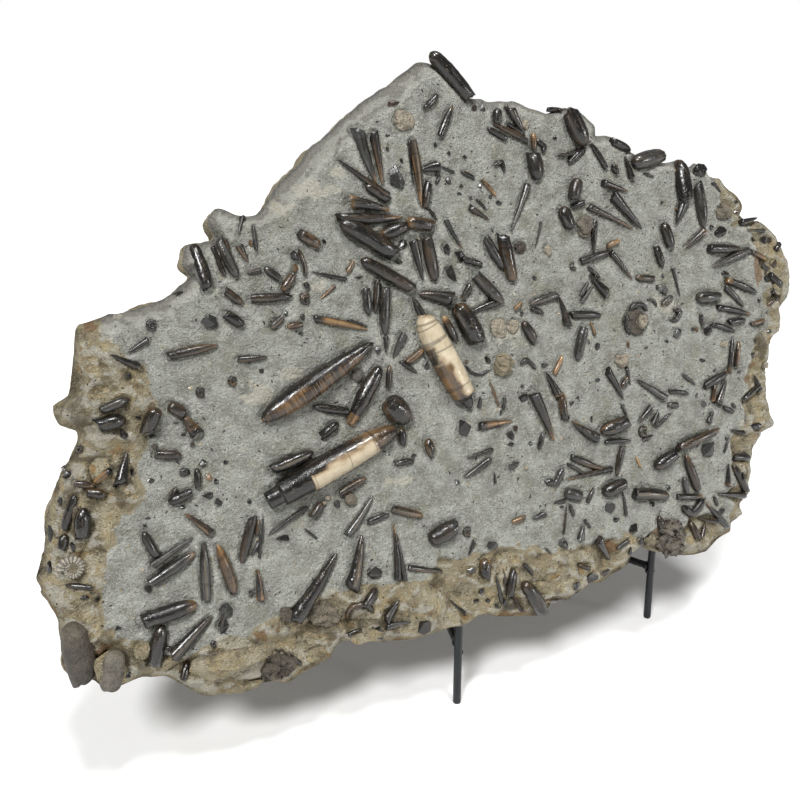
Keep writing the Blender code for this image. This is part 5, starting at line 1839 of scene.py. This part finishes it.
@dataclass
class FragmentBed:
    """The chips, nodules, hash and the ammonite that lie in the slab.

    Attributes:
        relief: The face that they lie in.
        place: Where the slab stands.
        finish: The finish of broken shell and rostra.
        stone: The finish of rounded pebbles and pale stones.
        marl: The finish of the slab's own stone.
    """

    relief: Relief
    place: SlabFrame
    finish: Material
    stone: Material
    marl: Material

    def _shards(self, name: str, rows: Sequence[tuple], finish: Material, corners: int,
                smooth: float) -> Object:
        """Break angular bodies, each the hull of a few chance corners.

        Args:
            name: The piece's name.
            rows: For each body x, y, width, height, how far it stands out, and its marks by name.
            finish: Their finish.
            corners: How many corners are tried.
            smooth: How even they are, from 0 to 1.

        Returns:
            The finished piece.
        """
        chance = np.random.default_rng(77)
        points, faces = [], []
        marks: dict[str, list[float]] = {key: [] for key in rows[0][5]}
        for x, y, width, height, out, stains in rows:
            centre = np.array(self.relief.dig(x, y, min(width, height)))
            spots = chance.normal(size=(corners, 3))
            spots /= np.linalg.norm(spots, axis=1)[:, None]
            spots *= chance.uniform(0.78 + 0.2 * smooth, 1.12 - 0.1 * smooth, (corners, 1))
            shard = bmesh.new()
            for spot in spots * np.array([width * 0.55, height * 0.55, out]):
                shard.verts.new(centre + spot)
            hull = bmesh.ops.convex_hull(shard, input=shard.verts)
            bmesh.ops.delete(shard, geom=list(set(hull["geom_interior"] + hull["geom_unused"])), context="VERTS")
            shard.verts.index_update()
            first, shift = len(points), chance.uniform(-0.08, 0.08)
            points += [tuple(v.co) for v in shard.verts]
            faces += [[first + v.index for v in face.verts] for face in shard.faces]
            for key in marks:
                marks[key] += [stains[key] + (shift if key == "tone" else 0.0)] * len(shard.verts)
            shard.free()
        return finish_shape(name, new_mesh(name, points, [], faces, marks), finish, self.place.slab(), False)

    def chips(self) -> Object:
        """Break the chips of shell and guards.

        Returns:
            The finished piece.
        """
        rows = [(x, y, width, height, 1.2 + 0.16 * min(width, height), FossilCode(*code).stain().body())
                for x, y, width, height, *code in CHIPS]
        return self._shards("broken_chips", rows, self.finish, 13, 0.0)

    def blocks(self) -> Object:
        """Break the blocks of the rim's own stone.

        Returns:
            The finished piece.
        """
        rows = [(x, y, width, height, out, {"rim": 1.0, "chalk": chalk, "slope": 0.0, "painted_hollow_shade_and_stain": 0.0, "rust": 0.0})
                for x, y, width, height, out, chalk in BLOCKS]
        return self._shards("rim_blocks", rows, self.marl, 22, 0.2)

    def nodules(self) -> list[tuple]:
        """Lay the rounded bodies.

        Returns:
            Rows for the fragment tree.
        """
        return [(self.relief.dig(x, y, min(width, height)), (width / 2, height / 2, out), UPRIGHT,
                 FossilCode(*code).stain()) for x, y, width, height, out, *code in NODULES]

    def hash(self, count: int) -> list[tuple]:
        """Strew crumbs of shell over the face.

        Args:
            count: How many crumbs are tried.

        Returns:
            Rows for the fragment tree.
        """
        chance = np.random.default_rng(5)
        low, high = self.relief.edge[:, :2].min(0), self.relief.edge[:, :2].max(0)
        spots = chance.uniform(low, high, (count, 2))
        ring = self.relief.outline()
        clear = inside(spots[:, 0], spots[:, 1], ring)
        clear &= distance_to_line(spots[:, 0], spots[:, 1], ring + ring[:1]) > 6.0
        spots = spots[clear]
        level, _ = self.relief.full(spots[:, 0].copy(), spots[:, 1].copy())
        rows, codes = [], ["D", "D", "D", "B", "G", "W", "O"]
        for (x, y), height in zip(spots, level):
            long, wide = chance.uniform(0.5, 2.3), chance.uniform(0.35, 0.9)
            text = chance.choice(codes)
            turn = (chance.uniform(-0.3, 0.3), chance.uniform(-0.3, 0.3), chance.uniform(0.0, 6.3))
            rows.append(((x, y, height), (long, wide, 0.55), turn, FossilCode(str(text)).stain()))
        return rows

    def ammonite(self) -> Sweep:
        """Coil the small ribbed ammonite near the slab's left edge, with painted highlights on its rib crests and
        painted shade in the grooves between them.

        Returns:
            Its whorls.
        """
        at_x, at_y, level = self.relief.dig(40.0, 139.0, 22.0)
        turn = np.linspace(-4.0 * math.pi, 5.0 * math.pi, 620)
        reach = 2.0 * np.exp(turn * 0.098)
        outer = turn > 2.6 * math.pi
        ribs = np.where(outer, 0.30, 0.08) * np.abs(np.sin(turn * 9.0))
        tube = (0.28 * reach + 0.3) * (1.0 + ribs)
        middle = reach * 0.95
        line = np.stack([at_x + middle * np.cos(turn), at_y + middle * np.sin(turn), level + 0.8 - 0.02 * middle], 1)
        # Painted light and shade: the rib crests are made pale and a lighter brown as highlights, the grooves between
        # them dark as shade.
        return Sweep(line, tube, {"tone": 2.4 * ribs, "grey": 0.7 * outer, "ochre": 0.7 * ~outer,
                                  "chalk": 0.9 * (ribs > 0.2), "run": turn * 3.0, "seed": 4.0})

    def build(self) -> None:
        """Build the chips, nodules, ammonite and crumbs."""
        place = self.place.slab()
        nodules, ammonite = self.nodules(), self.ammonite()
        keep(self.chips(), "dark_rostrum")
        keep(self.blocks(), "matrix_stone")
        keep(FragmentTree(4, 0.95, 6.0, True).build("nodules", nodules, place, self.stone), "matrix_stone")
        keep(SweepTree(12).build("ammonite", [ammonite], place, self.stone), "pale_rostrum")
        crumbs = self.hash(1500)
        keep(FragmentTree(1, 0.5, 1.2, False).build("shell_hash", crumbs, place, self.finish), "dark_rostrum")


@dataclass
class Stand:
    """The stand of round bar that carries the slab.

    Attributes:
        place: Where the left front leg stands.
        paint: The finish of its bar.
        bar_radius: Radius of the legs, arms, struts and crossbars.
        post_radius: Radius of the two back posts.
        post_gap: Distance between the posts and the slab's back.
        arm_height: Height of the arms' axes.
        post_foot: y and height of the posts' lower ends.
        post_top_run: How far up the slab's back the posts reach.
        strut_share: How far up the posts the rear struts join.
        rear_foot_y: How far back the rear feet stand.
    """

    place: SlabFrame
    paint: Material
    bar_radius: float = 4.0
    post_radius: float = 5.0
    post_gap: float = 0.3
    arm_height: float = 66.0
    post_foot: tuple[float, float] = (86.0, 55.0)
    post_top_run: float = 335.0
    strut_share: float = 0.76
    rear_foot_y: float = 250.0
    legs: dict[str, tuple[Vector, Vector]] = field(default_factory=lambda: {
        "left": (Vector((0.0, 0.0, 0.0)), Vector((0.0, 0.0, 94.0))),
        "right": (Vector((266.8, 51.7, 0.0)), Vector((263.8, 51.7, 93.0)))})
    post_x: dict[str, float] = field(default_factory=lambda: {"left": 16.0, "right": 245.0})
    rear_foot_x: dict[str, float] = field(default_factory=lambda: {"left": -55.0, "right": 300.0})
    crossbars: dict[str, float] = field(default_factory=lambda: {"lower": 0.16, "upper": 0.90})

    def _post(self, side: str) -> tuple[Vector, Vector]:
        """Give both ends of a back post.

        Args:
            side: Left or right.

        Returns:
            Its lower and upper end.
        """
        behind = SLAB_THICKNESS + self.post_radius + self.post_gap
        top = FACE_FOOT + Vector((self.post_x[side], 0.0, 0.0)) + UP_FACE * self.post_top_run - OUT_OF_FACE * behind
        return Vector((self.post_x[side], *self.post_foot)), top

    def _bar(self, start: Vector, end: Vector, radius: float, weld_start: bool, weld_end: bool, seed: int) -> Sweep:
        """Draw one bar, with eased ends and a bead of weld where it joins another.

        Args:
            start: One end.
            end: The other end.
            radius: Its radius.
            weld_start: Whether its start is welded.
            weld_end: Whether its end is welded.
            seed: Which chance shape the beads have.

        Returns:
            The bar.
        """
        length = (end - start).length
        steps = [0.0, 0.25, 0.7, 1.4, 2.4, 3.4, 4.6, 6.0]
        run = np.array(steps + list(np.linspace(9.0, length - 9.0, 12)) + [length - s for s in reversed(steps)])
        from_end = np.minimum(run, length - run)
        ease = np.interp(from_end, [0.0, 0.25, 0.7, 1.4], [0.72, 0.88, 0.97, 1.0])
        welded = np.where(run < length / 2, weld_start, weld_end)
        bead = 1.0 + 0.36 * np.exp(-((from_end - 1.8) / 2.0) ** 2) * (1.0 + 0.3 * lumps(run, run * 0 + seed, 1.7, 95))
        radii = radius * np.where(welded, bead, ease)
        line = np.array([list(start.lerp(end, float(r / length))) for r in run])
        return Sweep(line, radii, {"run": run, "seed": float(seed)})

    @staticmethod
    def _joint(line: tuple[Vector, Vector], height: float) -> Vector:
        """Give the point of a bar's axis at this height."""
        low, high = line
        return low.lerp(high, (height - low.z) / (high.z - low.z))

    @staticmethod
    def _drawn_in(start: Vector, end: Vector, near: float, far: float) -> tuple[Vector, Vector]:
        """Draw both ends of a line in."""
        along = (end - start).normalized()
        return start + along * near, end - along * far

    def _keep(self, name: str, sweep: Sweep, node: str) -> None:
        """Build one bar, cut off level at the floor.

        Args:
            name: The piece's name.
            sweep: Its shape, in stand millimetres.
            node: The frame's node that it stands for.
        """
        piece = SweepTree(20).build(name, [sweep], self.place.stand(), self.paint)
        for vertex in piece.data.vertices:
            vertex.co.z = max(vertex.co.z, 0.0)
        keep(piece, "stand_paint", node)

    def build(self) -> None:
        """Build the legs, arms, posts, struts, crossbars and weld spatter."""
        seed = 0
        for side, leg in self.legs.items():
            post = self._post(side)
            foot = Vector((self.rear_foot_x[side], self.rear_foot_y, 0.0))
            head = post[0].lerp(post[1], self.strut_share)
            arm = self._drawn_in(self._joint(leg, self.arm_height), self._joint(post, self.arm_height), 3.2, 4.2)
            strut = self._drawn_in(head, foot, 9.0, 0.0)
            for name, ends, radius, weld_start, weld_end in (
                    ("front_leg", leg, self.bar_radius, False, False),
                    ("arm", arm, self.bar_radius, True, True),
                    ("back_post", post, self.post_radius, False, False),
                    ("rear_strut", strut, self.bar_radius, True, False)):
                seed += 1
                sweep = self._bar(*ends, radius, weld_start, weld_end, seed)
                self._keep(f"{side}_{name}", sweep, f"stand_{side}_{name}")
        posts = (self._post("left"), self._post("right"))
        for name, share in self.crossbars.items():
            seed += 1
            ends = self._drawn_in(*(low.lerp(high, share) for low, high in posts), 4.2, 4.2)
            bar = self._bar(*ends, self.bar_radius, True, True, seed)
            self._keep(f"{name}_crossbar", bar, f"stand_{name}_crossbar")
        self._spatter()

    def _spatter(self) -> None:
        """Set the lumps of weld that stand out under the arms."""
        spots = [((3.9, -0.6, 57.0), (1.2, 1.5, 2.6)), ((-2.9, -2.6, 52.5), (0.9, 0.9, 1.5)),
                 ((261.5, 53.2, 60.2), (2.6, 2.4, 2.4)), ((266.5, 47.8, 62.0), (0.8, 0.7, 0.9)),
                 ((263.2, 54.2, 58.2), (1.8, 1.8, 2.0))]
        rows = [(centre, size, UPRIGHT, Stain()) for centre, size in spots]
        made = FragmentTree(3, 0.25, 2.0, True).build("weld_spatter", rows, self.place.stand(), self.paint)
        keep(made, "stand_paint")


@dataclass
class Studio:
    """The white floor, the soft lights and the camera.

    Attributes:
        foot: The left front leg's foot, in metres.
        eye: The camera from that foot, in millimetres.
        pitch: How far it looks down, in degrees.
        yaw: How far it looks to the right, in degrees.
        lens: Its focal length.
        dim: How bright the room is to the object, where the white behind it is 1.
    """

    foot: Vector
    eye: Vector = field(default_factory=lambda: Vector((-310.638, -619.644, 549.139)))
    pitch: float = 18.8
    yaw: float = 22.0
    lens: float = 38.0
    dim: float = 0.2

    def floor(self) -> None:
        """Lay the floor."""
        shape, data = bmesh.new(), bpy.data.meshes.new("floor")
        bmesh.ops.create_grid(shape, x_segments=8, y_segments=8, size=6.0)
        shape.to_mesh(data)
        shape.free()
        finish_shape("floor", data, PAPER.make())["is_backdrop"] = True

    def world(self) -> None:
        """Surround the scene with dim even light, and show it white behind the object."""
        world = bpy.data.worlds.new("white_room")
        world.use_nodes = True
        tree = world.node_tree
        tree.nodes.clear()
        seen = add_node(tree, "ShaderNodeLightPath")
        strength = add_node(tree, "ShaderNodeMapRange",
                            {"Value": seen.outputs["Is Camera Ray"], "To Min": self.dim, "To Max": 1.0})
        even = add_node(tree, "ShaderNodeBackground", {"Color": linear("#FFFFFF"), "Strength": strength})
        add_node(tree, "ShaderNodeOutputWorld", {"Surface": even})
        bpy.context.scene.world = world

    def light(self, name: str, left: float, height: float, spread: float, strength: float) -> None:
        """Hang one soft light, far off.

        Args:
            name: Its name.
            left: How far it stands left of the slab's front, in degrees.
            height: How high it stands, in degrees.
            spread: How wide it looks from the slab, in degrees.
            strength: How strong it is.
        """
        data = bpy.data.lights.new(name, "SUN")
        data.angle, data.energy = math.radians(spread), strength
        lamp = bpy.data.objects.new(name, data)
        lamp.rotation_euler = (math.radians(90.0 - height), 0.0, math.radians(-left))
        bpy.context.scene.collection.objects.link(lamp)

    def build(self) -> None:
        """Set up the floor, lights and camera."""
        self.floor()
        self.world()
        self.light("key", 42.0, 48.0, 14.0, 3.05)
        self.light("overhead_strip", -10.0, 74.0, 11.0, 1.95)
        self.light("right_strip", -42.0, 9.0, 9.0, 0.7)
        data = bpy.data.cameras.new("camera")
        data.lens, data.sensor_width = self.lens, 36.0
        camera = bpy.data.objects.new("camera", data)
        camera.location = self.foot + self.eye * MM
        camera.rotation_euler = (math.radians(90.0 - self.pitch), 0.0, math.radians(-self.yaw))
        bpy.context.scene.collection.objects.link(camera)
        bpy.context.scene.camera = camera
        bpy.context.scene.view_settings.view_transform = "Standard"


def corners() -> list[list[float]]:
    """Give the object's lowest and highest corners as plain lists."""
    return [list(corner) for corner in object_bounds()]


def main() -> None:
    """Build the slab, its fossils, its stand and the studio."""
    logging.basicConfig(level=logging.INFO, format="%(message)s")
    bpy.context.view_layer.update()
    low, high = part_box("stand_left_front_leg")
    foot = Vector(((low.x + high.x) / 2.0, (low.y + high.y) / 2.0, low.z))
    place, relief = SlabFrame(foot), Relief()
    calcite, pebble, marl = CALCITE.make(), PEBBLE.make(), MARL.make()
    RostrumBed(relief, place, calcite, pebble).build()
    FragmentBed(relief, place, calcite, pebble, marl).build()
    MatrixSlab(relief).build(place, marl)
    Stand(place, PAINT.make()).build()
    Studio(foot).build()


if __name__ == "__main__":
    main()
